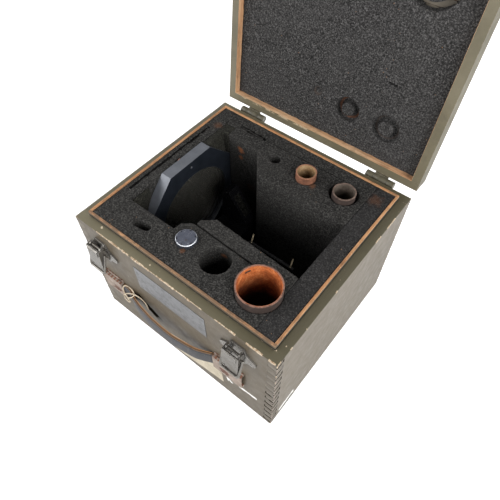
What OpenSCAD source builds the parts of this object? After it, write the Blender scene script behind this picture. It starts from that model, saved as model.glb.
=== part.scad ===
// Binocular collimator kit in its open transit case.
// Millimetres. X runs to the right along the front, Y to the back, Z up.
// The origin is the centre of the underside.

/* [Case] */
// Outside width of the case
case_w = 305; // [300:1:320]
// Outside depth of the case, front to back
case_d = 280; // [278:1:290]
// Height of the case body to its rim
case_h = 200; // [198:1:206]
// Thickness of the body boards
board_t = 12; // [11.5:0.5:12.5]
// Height of one finger of the corner joints
finger_h = 8; // [7:0.5:10]
// Thickness of the bare wood liner
liner_t = 3.2; // [2.5:0.1:3.2]
// How far the liner stands above the rim
tongue_h = 7.5; // [6:0.5:7.5]

/* [Lid] */
// Angle the lid stands open
open_angle = 95.5; // [90:0.5:98]
// Height of the lid
lid_h = 25.4; // [24:0.1:30]
// Thickness of the lid frame
lid_frame_t = 11; // [9:0.5:11]
// Thickness of the lid panel
lid_panel_t = 6; // [5:0.5:7]
// Depth of the lid foam below the lid rim
lid_foam_v = 8.5; // [8.4:0.1:9]
// Gap between rim and closed lid
rim_gap = 0.5; // [0.3:0.1:0.8]

/* [Hinges] */
// Length of one hinge
hinge_l = 40; // [36:1:46]
// Distance of the hinge centres from the middle
hinge_x = 104.5; // [98:0.5:108]
// Barrel radius
barrel_r = 5; // [4.5:0.1:5]
// Hinge pin radius
pin_r = 2.5; // [2:0.1:2.8]
// Leaf thickness
leaf_t = 2; // [1.6:0.1:2]
// Height of the barrel axis below the rim
axis_drop = 2.5; // [2:0.5:3]

/* [Latches] */
// Distance of the right latch from the right side
latch_in_right = 50.5; // [48:0.5:54]
// Distance of the left latch from the left side
latch_in_left = 38.5; // [37:0.5:42]
// Depth of the lever pin below the rim
lever_drop = 22; // [20:0.5:24]
// Half width of the lever
lever_half = 11.3; // [10.8:0.1:11.4]
// Length of the wire bail
bail_l = 30; // [29.5:0.5:33]
// Wire radius of the bail
wire_r = 1.6; // [1.4:0.1:1.6]

/* [Handle] */
// Height of the strap centre
strap_z = 88.5; // [84:0.5:92]
// Width of the strap
strap_w = 27; // [24:0.5:28]
// Thickness of the outer leather
strap_t = 2.4; // [2:0.1:2.6]
// Thickness of the inner layer
lining_t = 1.4; // [1:0.1:1.6]
// How far the strap bows away from the case
strap_bow = 14; // [10:0.5:18]

/* [Foam] */
// Height of the foam surface
foam_z = 206.5; // [205.5:0.5:206.5]
// Thickness of the foam under the instruments
base_foam_t = 15.6; // [15:0.1:15.6]
// Clearance of soft foam round a stowed piece
soft_gap = 0.3; // [0.25:0.05:0.4]

/* [Objective] */
// Width of the octagonal mount across its flats
octagon_w = 180.6; // [179:0.2:180.6]
// Thickness of the octagonal mount
octagon_t = 15.6; // [14:0.1:15.6]
// Front to back position of the mount centre
octagon_y = 9.3; // [8.8:0.1:9.6]
// Radius of the clear aperture
aperture_r = 66; // [60:0.5:68]
// Radius of the objective lens
lens_r = 70; // [69:0.5:72]

/* [Tubes] */
// Radius of the small tube
tube_a_r = 13.2; // [12:0.1:14]
// Length of the small tube
tube_a_l = 110; // [80:5:150]
// Radius of the middle tube
tube_b_r = 14.7; // [14:0.1:15]
// Length of the middle tube
tube_b_l = 120; // [80:5:150]
// Radius of the large tube
tube_c_r = 26.6; // [25:0.1:27]
// Length of the large tube
tube_c_l = 130; // [80:5:150]

/* [Knob] */
// Radius of the knob face
knob_r = 12.5; // [11:0.1:12.8]
// Length of the knob stem
stem_l = 42; // [30:1:60]

/* [Hidden] */
$fn = 64;
e = 0.5;
hx = case_w / 2;
hy = case_d / 2;
face = -hy;
in_x = hx - board_t;
in_y = hy - board_t;
foam_x = in_x - liner_t - soft_gap;
foam_y = in_y - liner_t - soft_gap;
foam_b = board_t + base_foam_t;
liner_top = case_h + tongue_h;

// Places keep their share of the case when its size is changed.
kx = case_w / 305;
ky = case_d / 280;
kz = case_h / 200;
function at(x, y) = [x * kx, y * ky];

latch_x_right = hx - latch_in_right;
latch_x_left = -hx + latch_in_left;
lever_pin_z = case_h - lever_drop;

axis_z = case_h - axis_drop;
axis_y = hy + leaf_t + barrel_r;
knuckle_gap = 0.3;
centre_knuckle = 0.45 * hinge_l;
pin_gap = 0.05;

lid_rim = case_h + rim_gap;
lid_top = lid_rim + lid_h;
lid_in_x = hx - lid_frame_t;
lid_in_y = hy - lid_frame_t;
lid_foam_z = lid_rim + lid_foam_v;
lid_panel_z = lid_top - lid_panel_t;

screw_gap = 0.05;

// Objective mount, standing in its slot on the base foam
seat_gap = 0.3;
octagon_top = foam_b + seat_gap + octagon_w;
octagon_z = octagon_top - octagon_w / 2;
octagon_flat = octagon_w * tan(22.5);
plate_front_x = -99.2 * kx;
plate_rear_x = plate_front_x - octagon_t;
lens_edge = 6;
lip_t = 4;
eyelet_y = octagon_y - 5;
ring_t = 3.2;

// Foam blocks, seen from above
slot_rear = plate_rear_x - soft_gap - 0.2;
slot_front = plate_front_x + soft_gap + 0.9;
slot_back = octagon_y + octagon_w / 2 + soft_gap + 0.6;
slot_near = octagon_y - octagon_w / 2 - soft_gap - 0.7;
block_right = 112.3 * kx;
back_outline = [
  [slot_rear, slot_back], [slot_front, slot_back], [slot_front, 84.2 * ky],
  at(-46, 82), at(-20, 47.4), [block_right - 0.1, 47 * ky],
  [block_right - 0.1, foam_y], [slot_rear, foam_y]
];
seam_slope = -0.039;
function seam(x) = ky * (-61 + seam_slope * (x / kx + 26));
front_outline = [
  [slot_rear, -foam_y], [block_right - 0.1, -foam_y],
  [block_right - 0.1, seam(block_right)], [-24.1 * kx, seam(-24.1 * kx) - 0.4],
  at(-30.5, -62.9), at(-41, -71.2), [-41.9 * kx, slot_near], [slot_rear, slot_near]
];
divider_outline = [
  at(-26.5, -53.8), at(-11.2, -40.6), at(108, -47), [block_right - 0.1, -47.2 * ky],
  [block_right - 0.1, seam(block_right) + 0.2], [-26 * kx, seam(-26 * kx) + 0.2]
];
// The front block is cut into four pieces, one pocket in each
front_cuts = [-44 * kx, -4 * kx, 53 * kx];

// Stowed pieces, seen from above, and how far they stand out of the foam
tube_a_at = at(31.7, 82.2);
tube_b_at = at(86.4, 84.9);
tube_c_at = at(88.5, -87.1);
spare_at = at(25.6, -85.7);
knob_at = at(-18.7, -85.4);
key_at = at(-18.3, 84.9);
oval_at = at(-75, -102);
tube_a_top = foam_z + 10;
tube_b_top = foam_z + 8;
tube_c_top = foam_z + 12;
knob_top = foam_z + 5;
tube_a_wall = 1.6;
tube_b_wall = 1.8;
tube_c_wall = 2;
b_pocket_r = tube_b_r + 3.8;
b_pocket_at = tube_b_at + [-1.4, 3.1];

// Reticle housing: a low box with a narrow tower that has the sloped window
housing_x0 = -75 * kx;
housing_x1 = -28.5 * kx;
housing_y0 = -38 * ky;
housing_y1 = 56 * ky;
housing_z0 = foam_b + seat_gap;
housing_wall = 3;
housing_top = 96 * kz;
tower_d = 20;
slope_top = [-60 * kx, 154 * kz];
slope_low = [housing_x1, 107.9 * kz];
slope_angle = atan2(slope_top[1] - slope_low[1], slope_low[0] - slope_top[0]);
foot_t = 3;
board_x0 = 34 * kx;
board_x1 = 97 * kx;
board_y0 = -37 * ky;
board_y1 = board_y0 + 3;
board_top = foam_z - 10.5;

latch_plate_t = 2;
cheek_in = 8;
cheek_t = 1.5;
flange_t = 1.5;
lever_pin_y = face - 7.5;
lever_pin_r = 1.6;
bail_piv = [face - 8.5, lever_pin_z - 8];
bail_tilt = 16.5;
bail_half = lever_half + 0.2 + wire_r;
keeper_lip_y = face - 13.2;
keeper_floor = lever_pin_z - 8 + bail_l - wire_r - 4.1;

strap_y = face - lining_t - strap_t;
strap_in = face - 0.2;

// Shared shapes

// A box between two corners
module block(a, b) {
  translate(a)
    cube(b - a);
}

// A countersunk wood screw, its head at the origin facing up
module screw(l, r) {
  difference() {
    union() {
      cylinder(h = r, r1 = r, r2 = 2 * r);
      translate([0, 0, -l])
        cylinder(h = l + 0.01, r = r);
    }
    translate([-3 * r, -0.35, 0.6 * r])
      cube([6 * r, 0.7, r]);
  }
}

// The hole that takes such a screw
module screw_hole(l, r) {
  cylinder(h = r + e, r1 = r + screw_gap, r2 = 2 * r + screw_gap + e);
  translate([0, 0, -l - 0.2])
    cylinder(h = l + 0.3, r = r + screw_gap);
}

// Places a screw on the front face, the back face or a flat top
module on_front(x, z, out) {
  translate([x, face - out, z])
    rotate([90, 0, 0])
      children();
}

module on_back(x, z, out) {
  translate([x, hy + out, z])
    rotate([-90, 0, 0])
      children();
}

// Finger notches at both ends of a board that lies along X
module notches_x(start, half, depth, y0, y1, z0, z1) {
  for (z = [z0 + start * finger_h : 2 * finger_h : z1 - 0.01])
    for (s = [-1, 1])
      translate([s * half - (s > 0 ? depth : 0), y0 - e, z])
        translate([s > 0 ? 0 : -e, 0, (z == z0) ? -e : 0])
          cube([depth + e, y1 - y0 + 2 * e,
            finger_h + ((z == z0) ? e : 0) + ((z + finger_h > z1 - 0.01) ? e : 0)]);
}

// The same for a board that lies along Y
module notches_y(start, half, depth, x0, x1, z0, z1) {
  for (z = [z0 + start * finger_h : 2 * finger_h : z1 - 0.01])
    for (s = [-1, 1])
      translate([x0 - e, s * half - (s > 0 ? depth : 0), z])
        translate([0, s > 0 ? 0 : -e, (z == z0) ? -e : 0])
          cube([x1 - x0 + 2 * e, depth + e,
            finger_h + ((z == z0) ? e : 0) + ((z + finger_h > z1 - 0.01) ? e : 0)]);
}

// Turns a closed lid shape to the open rest pose
module opened() {
  translate([0, axis_y, axis_z])
    rotate([-open_angle, 0, 0])
      translate([0, -axis_y, -axis_z])
        children();
}

// Case body

module all_front_holes() {
  for (x = [latch_x_left, latch_x_right])
    latch_screw_places(x)
      screw_hole(9, 1.4);
  strap_screw_places()
    screw_hole(9, 1.4);
}

module board_front() {
  color([0.33, 0.32, 0.23])
    difference() {
      block([-hx, face, 0], [hx, -in_y, case_h]);
      notches_x(1, hx, board_t, face, -in_y, 0, case_h);
      all_front_holes();
      on_front(stud_at[0], stud_at[1], stud_out)
        translate([0, 0, -12])
          cylinder(h = 14, r = stud_r + screw_gap);
    }
}

module board_back() {
  color([0.33, 0.32, 0.23])
    difference() {
      block([-hx, in_y, 0], [hx, hy, case_h]);
      notches_x(1, hx, board_t, in_y, hy, 0, case_h);
      body_leaf_screw_places()
        screw_hole(10, 1.5);
    }
}

module board_side(s) {
  color([0.33, 0.32, 0.23])
    difference() {
      block([s > 0 ? in_x : -hx, -hy, 0], [s > 0 ? hx : -in_x, hy, case_h]);
      notches_y(0, hy, board_t, s > 0 ? in_x : -hx, s > 0 ? hx : -in_x, 0, case_h);
    }
}

module board_left() {
  board_side(-1);
}

module board_right() {
  board_side(1);
}

module board_bottom() {
  color([0.3, 0.29, 0.21])
    block([-in_x, -in_y, 0], [in_x, in_y, board_t]);
}

// Bare wood liner that forms the tongue of the rim

module liner_front() {
  color([0.72, 0.5, 0.33])
    block([-in_x, -in_y, board_t], [in_x, -in_y + liner_t, liner_top]);
}

module liner_back() {
  color([0.72, 0.5, 0.33])
    block([-in_x, in_y - liner_t, board_t], [in_x, in_y, liner_top]);
}

module liner_left() {
  color([0.72, 0.5, 0.33])
    block([-in_x, -in_y + liner_t, board_t], [-in_x + liner_t, in_y - liner_t, liner_top]);
}

module liner_right() {
  color([0.72, 0.5, 0.33])
    block([in_x - liner_t, -in_y + liner_t, board_t], [in_x, in_y - liner_t, liner_top]);
}

// Lid, drawn closed and turned open

module lid_rail_front() {
  color([0.33, 0.32, 0.23])
    opened()
      difference() {
        block([-hx, face, lid_rim], [hx, -lid_in_y, lid_top]);
        notches_x(1, hx, lid_frame_t, face, -lid_in_y, lid_rim, lid_top);
        keeper_screw_places()
          screw_hole(7, 1.4);
      }
}

module lid_rail_back() {
  color([0.33, 0.32, 0.23])
    opened()
      difference() {
        block([-hx, lid_in_y, lid_rim], [hx, hy, lid_top]);
        notches_x(1, hx, lid_frame_t, lid_in_y, hy, lid_rim, lid_top);
        lid_leaf_screw_places()
          screw_hole(7, 1.5);
      }
}

module lid_rail_side(s) {
  color([0.33, 0.32, 0.23])
    opened()
      difference() {
        block([s > 0 ? lid_in_x : -hx, -hy, lid_rim], [s > 0 ? hx : -lid_in_x, hy, lid_top]);
        difference() {
          notches_y(0, hy, lid_frame_t, s > 0 ? lid_in_x : -hx,
            s > 0 ? hx : -lid_in_x, lid_rim, lid_top);
          block([-case_w, -case_d, lid_rim + 3 * finger_h],
            [case_w, case_d, lid_top + 5]);
        }
        for (t = [-1, 1])
          block([s > 0 ? lid_in_x - e : -hx - e, t > 0 ? hy - lid_frame_t : -hy - e,
            lid_rim + 2 * finger_h],
            [s > 0 ? hx + e : -lid_in_x + e, t > 0 ? hy + e : -hy + lid_frame_t,
            lid_rim + 3 * finger_h]);
      }
}

module lid_rail_left() {
  lid_rail_side(-1);
}

module lid_rail_right() {
  lid_rail_side(1);
}

module lid_panel() {
  color([0.36, 0.35, 0.26])
    opened()
      block([-lid_in_x, -lid_in_y, lid_panel_z], [lid_in_x, lid_in_y, lid_top]);
}

// A ring groove that clears the rim of a standing tube
module rim_groove(at, r, wall, top) {
  translate([at[0], at[1], lid_foam_z - e])
    difference() {
      cylinder(h = top - lid_foam_z + 1.3 + e, r = r + 3);
      translate([0, 0, -e])
        cylinder(h = top - lid_foam_z + 1.3 + 3 * e, r = r - wall - 3);
    }
}

module lid_foam() {
  fx = lid_in_x - soft_gap;
  fy = lid_in_y - soft_gap;
  color([0.16, 0.16, 0.16])
    opened()
      difference() {
        block([-fx, -fy, lid_foam_z], [fx, fy, lid_panel_z]);
        rim_groove(tube_a_at, tube_a_r, tube_a_wall, tube_a_top);
        rim_groove(tube_b_at, tube_b_r, tube_b_wall, tube_b_top);
        rim_groove(tube_c_at, tube_c_r, tube_c_wall, tube_c_top);
        translate([knob_at[0], knob_at[1], lid_foam_z - e])
          cylinder(h = knob_top - lid_foam_z + 1.3 + e, r = 16.5);
        translate([-13.9 * kx, 75 * ky, lid_foam_z - e])
          cylinder(h = 2.5 + e, r = 5);
        block([72 * kx, 26.5 * ky, lid_foam_z - e], [84 * kx, 29.5 * ky, lid_foam_z + 5]);
        if (octagon_top + soft_gap > lid_foam_z)
          block([plate_rear_x - 3, octagon_y - octagon_w / 2 - 1, lid_foam_z - e],
            [plate_front_x + 3, octagon_y + octagon_w / 2 + 1, octagon_top + 1]);
      }
}

// Foam blocks of the body

module foam_base() {
  color([0.14, 0.14, 0.14])
    block([-foam_x, -foam_y, board_t], [foam_x, foam_y, foam_b]);
}

module foam_left() {
  color([0.17, 0.17, 0.17])
    difference() {
      block([-foam_x, -foam_y, foam_b], [slot_rear - 0.1, foam_y, foam_z]);
      block([-128 * kx - 1, -75 * ky, foam_z - 70], [-128 * kx + 1, 78.5 * ky, foam_z + e]);
      translate([slot_rear, eyelet_y, octagon_top - 3])
        rotate([0, 90, 0])
          cylinder(h = 8, r = 4.5, center = true);
      block([slot_rear - 4, eyelet_y - 4.5, octagon_top - 3],
        [slot_rear + 1, eyelet_y + 4.5, octagon_top + e]);
    }
}

module foam_back() {
  color([0.17, 0.17, 0.17])
    difference() {
      translate([0, 0, foam_b])
        linear_extrude(foam_z - foam_b)
          polygon(back_outline);
      translate([tube_a_at[0], tube_a_at[1], tube_a_top - tube_a_l - soft_gap])
        cylinder(h = tube_a_l, r = tube_a_r + soft_gap);
      translate([b_pocket_at[0], b_pocket_at[1], tube_b_top - tube_b_l - soft_gap])
        cylinder(h = tube_b_l, r = b_pocket_r);
      translate([key_at[0], key_at[1], foam_z - 45])
        cylinder(h = 46, r = 7.3);
      back_slot();
    }
}

// The crooked slot behind the objective, with a notch at its middle
module back_slot() {
  translate([0, 0, foam_z - 60])
    linear_extrude(61)
      polygon([at(-96.5, 108.6), at(-84, 107.3), at(-80, 108.4), at(-76, 107.2),
        at(-68, 106.6), at(-62, 107), at(-51, 105.6), at(-51.5, 104),
        at(-62, 104.2), at(-72, 104.4), at(-75.5, 103.4), at(-80, 102.6),
        at(-83, 104.6), at(-96, 106.4)]);
}

module foam_right() {
  color([0.19, 0.19, 0.19])
    difference() {
      block([block_right, -foam_y, foam_b], [foam_x, foam_y, foam_z]);
      large_pocket();
    }
}

module large_pocket() {
  translate([tube_c_at[0], tube_c_at[1], tube_c_top - tube_c_l - soft_gap])
    cylinder(h = tube_c_l, r = tube_c_r + soft_gap);
}

// The open slit along the divider
module front_slit() {
  translate([0, 0, foam_z - 90])
    linear_extrude(91)
      polygon([[-30 * kx, seam(-30 * kx) - 1], [64 * kx, seam(64 * kx) - 1],
        [64 * kx, seam(64 * kx) + 1.2], [-30 * kx, seam(-30 * kx) + 1.2]]);
}

module foam_front() {
  color([0.17, 0.17, 0.17])
    difference() {
      translate([0, 0, foam_b])
        linear_extrude(foam_z - foam_b)
          polygon(front_outline);
      large_pocket();
      front_slit();
      for (x = front_cuts)
        block([x - 0.1, -hy, foam_b - e], [x + 0.1, hy, foam_z + e]);
      translate([spare_at[0], spare_at[1], foam_z - 100])
        cylinder(h = 101, r = 18.8);
      translate([knob_at[0], knob_at[1], knob_top - knob_t - stem_l - soft_gap])
        cylinder(h = stem_l + 1, r = stem_r + soft_gap);
      translate([oval_at[0], oval_at[1], foam_z - 38])
        rotate([0, 0, 9])
          linear_extrude(39)
            union() {
              square([15, 9.6], center = true);
              for (s = [-1, 1])
                translate([s * 7.5, 0])
                  circle(r = 4.8, $fn = 32);
            }
    }
}

module foam_divider() {
  color([0.17, 0.17, 0.17])
    difference() {
      translate([0, 0, foam_b])
        linear_extrude(foam_z - foam_b)
          polygon(divider_outline);
      large_pocket();
      front_slit();
    }
}

// Foam wedges that lie on the two upper chamfers of the octagonal mount
module foam_wedges() {
  color([0.24, 0.23, 0.19]) {
    wedge_back();
    wedge_near();
  }
}

wedge_x = [plate_rear_x, slot_front - 0.4];
wedge_flat = octagon_flat / 2 + 1;
wedge_end = octagon_w / 2 - 0.4;
wedge_top = foam_z - 0.3;
tip_y = 84.2 * ky;

// Everything below one upper chamfer of the mount
module under_chamfer(s) {
  translate([0, octagon_y + s * octagon_flat / 2, octagon_top])
    rotate([-s * 45, 0, 0])
      translate([-200, -150, -200])
        cube([400, 300, 200]);
}

// Flush with the foam behind, cut away in one slanted facet towards the mount
module wedge_back() {
  tip_x = wedge_x[0] + 4.7;
  difference() {
    translate([0, 0, octagon_top - 60])
      linear_extrude(wedge_top - octagon_top + 60)
        polygon([[wedge_x[0], octagon_y + wedge_flat], [wedge_x[1], octagon_y + wedge_flat],
          [wedge_x[1], tip_y - 8], [tip_x, tip_y - 0.3], [tip_x, tip_y],
          [wedge_x[1], tip_y], [wedge_x[1], octagon_y + wedge_end],
          [wedge_x[0], octagon_y + wedge_end]]);
    under_chamfer(1);
    intersection() {
      translate([tip_x + 4.2, tip_y - 21, foam_z])
        rotate([0, 68, 11])
          translate([-60, -60, 0])
            cube([120, 120, 60]);
      block([-200, -200, 0], [200, tip_y - 0.1, 400]);
    }
  }
}

module wedge_near() {
  difference() {
    translate([0, 0, octagon_top - 60])
      linear_extrude(60)
        polygon([[wedge_x[0], octagon_y - wedge_end], [wedge_x[0], octagon_y - wedge_flat - 22],
          [wedge_x[0] + 8, octagon_y - wedge_end]]);
    under_chamfer(-1);
    translate([wedge_x[0], octagon_y, foam_z - 2.5])
      rotate([0, 35, 0])
        translate([-60, -200, 0])
          cube([120, 400, 60]);
  }
}

// Hinges

module hinge_at() {
  for (s = [-1, 1])
    translate([s * hinge_x, 0, 0])
      children();
}

module body_leaf_screw_places() {
  hinge_at()
    for (x = [-13, 0, 13])
      on_back(x, axis_z - (x == 0 ? 20 : 12), leaf_t - 1.5)
        children();
}

module lid_leaf_screw_places() {
  hinge_at()
    for (x = [-13, 0, 13])
      on_back(x, lid_rim + (x == 0 ? 8 : 15), leaf_t - 1.5)
        children();
}

module barrel(x0, x1) {
  translate([x0, axis_y, axis_z])
    rotate([0, 90, 0])
      cylinder(h = x1 - x0, r = barrel_r);
}

module barrel_bore() {
  translate([-hinge_l / 2 - e, axis_y, axis_z])
    rotate([0, 90, 0])
      cylinder(h = hinge_l + 2 * e, r = pin_r + pin_gap);
}

module hinge_body_leaves() {
  ck = centre_knuckle / 2 + knuckle_gap;
  color([0.36, 0.34, 0.24])
    difference() {
      hinge_at()
        difference() {
          union() {
            block([-hinge_l / 2, hy, axis_z - 28], [hinge_l / 2, hy + leaf_t, axis_z - barrel_r - 1]);
            for (s = [-1, 1])
              block([s > 0 ? ck : -hinge_l / 2, hy, axis_z - barrel_r - 2],
                [s > 0 ? hinge_l / 2 : -ck, axis_y, axis_z]);
            barrel(-hinge_l / 2, -ck);
            barrel(ck, hinge_l / 2);
          }
          barrel_bore();
        }
      body_leaf_screw_places()
        screw_hole(10, 1.5);
    }
}

module hinge_lid_leaves() {
  ck = centre_knuckle / 2;
  color([0.36, 0.34, 0.24])
    opened()
      difference() {
        hinge_at()
          difference() {
            union() {
              block([-hinge_l / 2, hy, lid_rim + 3], [hinge_l / 2, hy + leaf_t, lid_top - 3]);
              block([-ck, hy, axis_z + 0.5], [ck, hy + leaf_t, lid_rim + 4]);
              block([-ck, hy, axis_z + 0.5], [ck, axis_y, axis_z + barrel_r]);
              barrel(-ck, ck);
            }
            barrel_bore();
          }
        lid_leaf_screw_places()
          screw_hole(7, 1.5);
      }
}

module hinge_pins() {
  color([0.5, 0.48, 0.42])
    hinge_at()
      translate([-hinge_l / 2 + 0.2, axis_y, axis_z])
        rotate([0, 90, 0])
          cylinder(h = hinge_l - 0.4, r = pin_r);
}

module hinge_body_screws() {
  color([0.42, 0.4, 0.32])
    body_leaf_screw_places()
      screw(10, 1.5);
}

module hinge_lid_screws() {
  color([0.42, 0.4, 0.32])
    opened()
      lid_leaf_screw_places()
        screw(7, 1.5);
}

// Latches

module latch_screw_places(x) {
  for (s = [-1, 1])
    on_front(x + s * 19, lever_pin_z - 19, latch_plate_t - 1.4)
      children();
}

module latch_base(x) {
  difference() {
    union() {
      translate([x, face, 0])
        rotate([90, 0, 0])
          linear_extrude(latch_plate_t)
            polygon([[-8.5, lever_pin_z + 5], [8.5, lever_pin_z + 5], [13, lever_pin_z - 7],
              [24.5, lever_pin_z - 14.5], [25.4, lever_pin_z - 17.5], [24, lever_pin_z - 21.5],
              [20, lever_pin_z - 23.5], [13, lever_pin_z - 24.5], [10, lever_pin_z - 30],
              [-10, lever_pin_z - 30], [-13, lever_pin_z - 24.5], [-20, lever_pin_z - 23.5],
              [-24, lever_pin_z - 21.5], [-25.4, lever_pin_z - 17.5],
              [-24.5, lever_pin_z - 14.5], [-13, lever_pin_z - 7]]);
      for (s = [-1, 1])
        translate([x + (s > 0 ? cheek_in : -cheek_in - cheek_t), 0, 0])
          rotate([90, 0, 90])
            linear_extrude(cheek_t)
              polygon([[face - latch_plate_t + 0.2, lever_pin_z + 5],
                [lever_pin_y + 4.5, lever_pin_z + 5], [lever_pin_y + 4.3, lever_pin_z + 3.6],
                [lever_pin_y - 1, lever_pin_z + 3.6], [lever_pin_y - 3, lever_pin_z + 2],
                [lever_pin_y - 3, lever_pin_z - 3], [face - 4, lever_pin_z - 22],
                [face - latch_plate_t + 0.2, lever_pin_z - 28]]);
    }
    translate([x - 20, lever_pin_y, lever_pin_z])
      rotate([0, 90, 0])
        cylinder(h = 40, r = lever_pin_r);
  }
}

module latch_bases() {
  color([0.6, 0.6, 0.58])
    difference() {
      union() {
        latch_base(latch_x_left);
        latch_base(latch_x_right);
      }
      for (x = [latch_x_left, latch_x_right])
        latch_screw_places(x)
          screw_hole(9, 1.4);
    }
}

module latch_pins() {
  color([0.55, 0.55, 0.52])
    for (x = [latch_x_left, latch_x_right])
      translate([x - lever_half - 0.15, lever_pin_y, lever_pin_z])
        rotate([0, 90, 0])
          cylinder(h = 2 * lever_half + 0.3, r = lever_pin_r);
}

module latch_screws() {
  color([0.5, 0.5, 0.47])
    for (x = [latch_x_left, latch_x_right])
      latch_screw_places(x)
        screw(9, 1.4);
}

// The lever is a channel with a flat tongue below and a turned lip on top
module latch_lever(x) {
  py = lever_pin_y;
  pz = lever_pin_z;
  color([0.62, 0.62, 0.6])
    difference() {
      union() {
        for (s = [-1, 1])
          translate([x + (s > 0 ? lever_half - flange_t : -lever_half), 0, 0])
            rotate([90, 0, 90])
              linear_extrude(flange_t)
                polygon([[py - 4.6, pz + 2.8], [py + 1.5, pz + 3.2], [py + 3.4, pz + 1.2],
                  [py + 3.4, pz - 2], [py + 2.6, pz - 9], [py + 0.5, pz - 12],
                  [py - 4.5, pz - 22], [py - 7.1, pz - 30], [py - 8.0, pz - 30],
                  [py - 5.4, pz + 2.8]]);
        translate([x - lever_half, 0, 0])
          rotate([90, 0, 90])
            linear_extrude(2 * lever_half)
              polygon([[py - 4.4, pz + 2.8], [py - 6.0, pz + 2.8], [py - 6.3, pz],
                [py - 8.9, pz - 34.6], [py - 7.3, pz - 34.6], [py - 4.7, pz]]);
        translate([x - lever_half + 3, 0, 0])
          rotate([90, 0, 90])
            linear_extrude(2 * lever_half - 6)
              polygon([[py - 6.0, pz + 2.4], [py - 7.3, pz + 1.6], [py - 7.7, pz - 7],
                [py - 6.6, pz - 8]]);
      }
      translate([x - 20, py, pz])
        rotate([0, 90, 0])
          cylinder(h = 40, r = lever_pin_r + pin_gap);
      translate([x - 20, bail_piv[0], bail_piv[1]])
        rotate([0, 90, 0])
          cylinder(h = 40, r = wire_r + pin_gap);
      translate([x - lever_half + 4, py - 8, pz - 29.5])
        rotate([90, 0, 0])
          cylinder(h = 12, r = 1.3, center = true, $fn = 32);
    }
}

module latch_lever_left() {
  latch_lever(latch_x_left);
}

module latch_lever_right() {
  latch_lever(latch_x_right);
}

// The bail is one bent wire with its ends turned into the lever
module latch_bail(x) {
  q = 3;
  color([0.66, 0.66, 0.64])
    translate([x, bail_piv[0], bail_piv[1]])
      rotate([-bail_tilt, 0, 0])
        union() {
          for (s = [-1, 1]) {
            translate([s * bail_half, 0, 0])
              sphere(r = wire_r, $fn = 32);
            translate([s > 0 ? lever_half - flange_t - 0.1 : -bail_half, 0, 0])
              rotate([0, 90, 0])
                cylinder(h = bail_half - lever_half + flange_t + 0.1, r = wire_r);
            translate([s * bail_half, 0, -bail_l + q])
              cylinder(h = bail_l - q, r = wire_r);
            translate([s * (bail_half - q), 0, -bail_l + q])
              rotate([90, 0, 0])
                rotate([0, 0, s > 0 ? -90 : 180])
                  rotate_extrude(angle = 90, $fn = 48)
                    translate([q, 0])
                      circle(r = wire_r, $fn = 32);
          }
          translate([-bail_half + q, 0, -bail_l])
            rotate([0, 90, 0])
              cylinder(h = 2 * (bail_half - q), r = wire_r);
        }
}

module latch_bail_left() {
  latch_bail(latch_x_left);
}

module latch_bail_right() {
  latch_bail(latch_x_right);
}

module keeper_screw_places() {
  for (x = [latch_x_left, latch_x_right])
    for (s = [-1, 1])
      on_front(x + s * 13.5, lid_rim + 14.5, latch_plate_t - 1.4)
        children();
}

module lid_keepers() {
  color([0.6, 0.6, 0.58])
    opened()
      difference() {
        for (x = [latch_x_left, latch_x_right]) {
          block([x - 18, face - latch_plate_t, lid_rim + 9], [x + 18, face, lid_rim + 20]);
          block([x - 9.5, face - latch_plate_t, lid_rim + 0.5], [x + 9.5, face, lid_rim + 10]);
          block([x - 9.5, face - 2.6, keeper_floor], [x + 9.5, face - 1, lid_rim + 3]);
          block([x - 9.5, keeper_lip_y, keeper_floor], [x + 9.5, face - 1, keeper_floor + 1.7]);
          block([x - 9.5, keeper_lip_y, keeper_floor], [x + 9.5, keeper_lip_y + 1.7, keeper_floor + 6.5]);
        }
        keeper_screw_places()
          screw_hole(7, 1.4);
      }
}

module keeper_screws() {
  color([0.5, 0.5, 0.47])
    opened()
      keeper_screw_places()
        screw(7, 1.4);
}

// Handle

// Points where the strap leaves the face, with its standoff at full bow 1
strap_pts = [[-112, 0], [-85, 0], [-77, 0.21], [-69, 0.43], [-60, 0.6], [-50, 0.73],
  [-40, 0.84], [-30, 0.915], [-18, 0.97], [-5, 1], [8, 0.97], [20, 0.86], [30, 0.76],
  [40, 0.62], [48, 0.42], [54, 0.23], [59, 0.08], [63.5, 0], [98, 0]];
function strap_x(i) = strap_pts[i][0] * kx;
function strap_off(i) = strap_bow * strap_pts[i][1];

module strap_layer(inner, thick, z_half) {
  n = len(strap_pts);
  near = [for (i = [0 : n - 1])
    [strap_x(i), strap_in - strap_off(i) - inner]];
  far = [for (i = [n - 1 : -1 : 0])
    [strap_x(i), strap_in - strap_off(i) - inner - thick]];
  translate([0, 0, strap_z - z_half])
    linear_extrude(2 * z_half)
      polygon(concat(near, far));
}

module strap_leather() {
  color([0.2, 0.21, 0.24])
    difference() {
      strap_layer(lining_t, strap_t, strap_w / 2);
      stud_hole();
    }
}

module strap_lining() {
  color([0.6, 0.45, 0.3])
    difference() {
      strap_layer(0, lining_t, strap_w / 2 + 0.4);
      stud_hole();
    }
}

crown_y = strap_in - lining_t - strap_t - 0.2;
plate_t = 1.4;
plate_l = [-133 * kx, -96 * kx];
plate_r = [64 * kx, 109 * kx];

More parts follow.
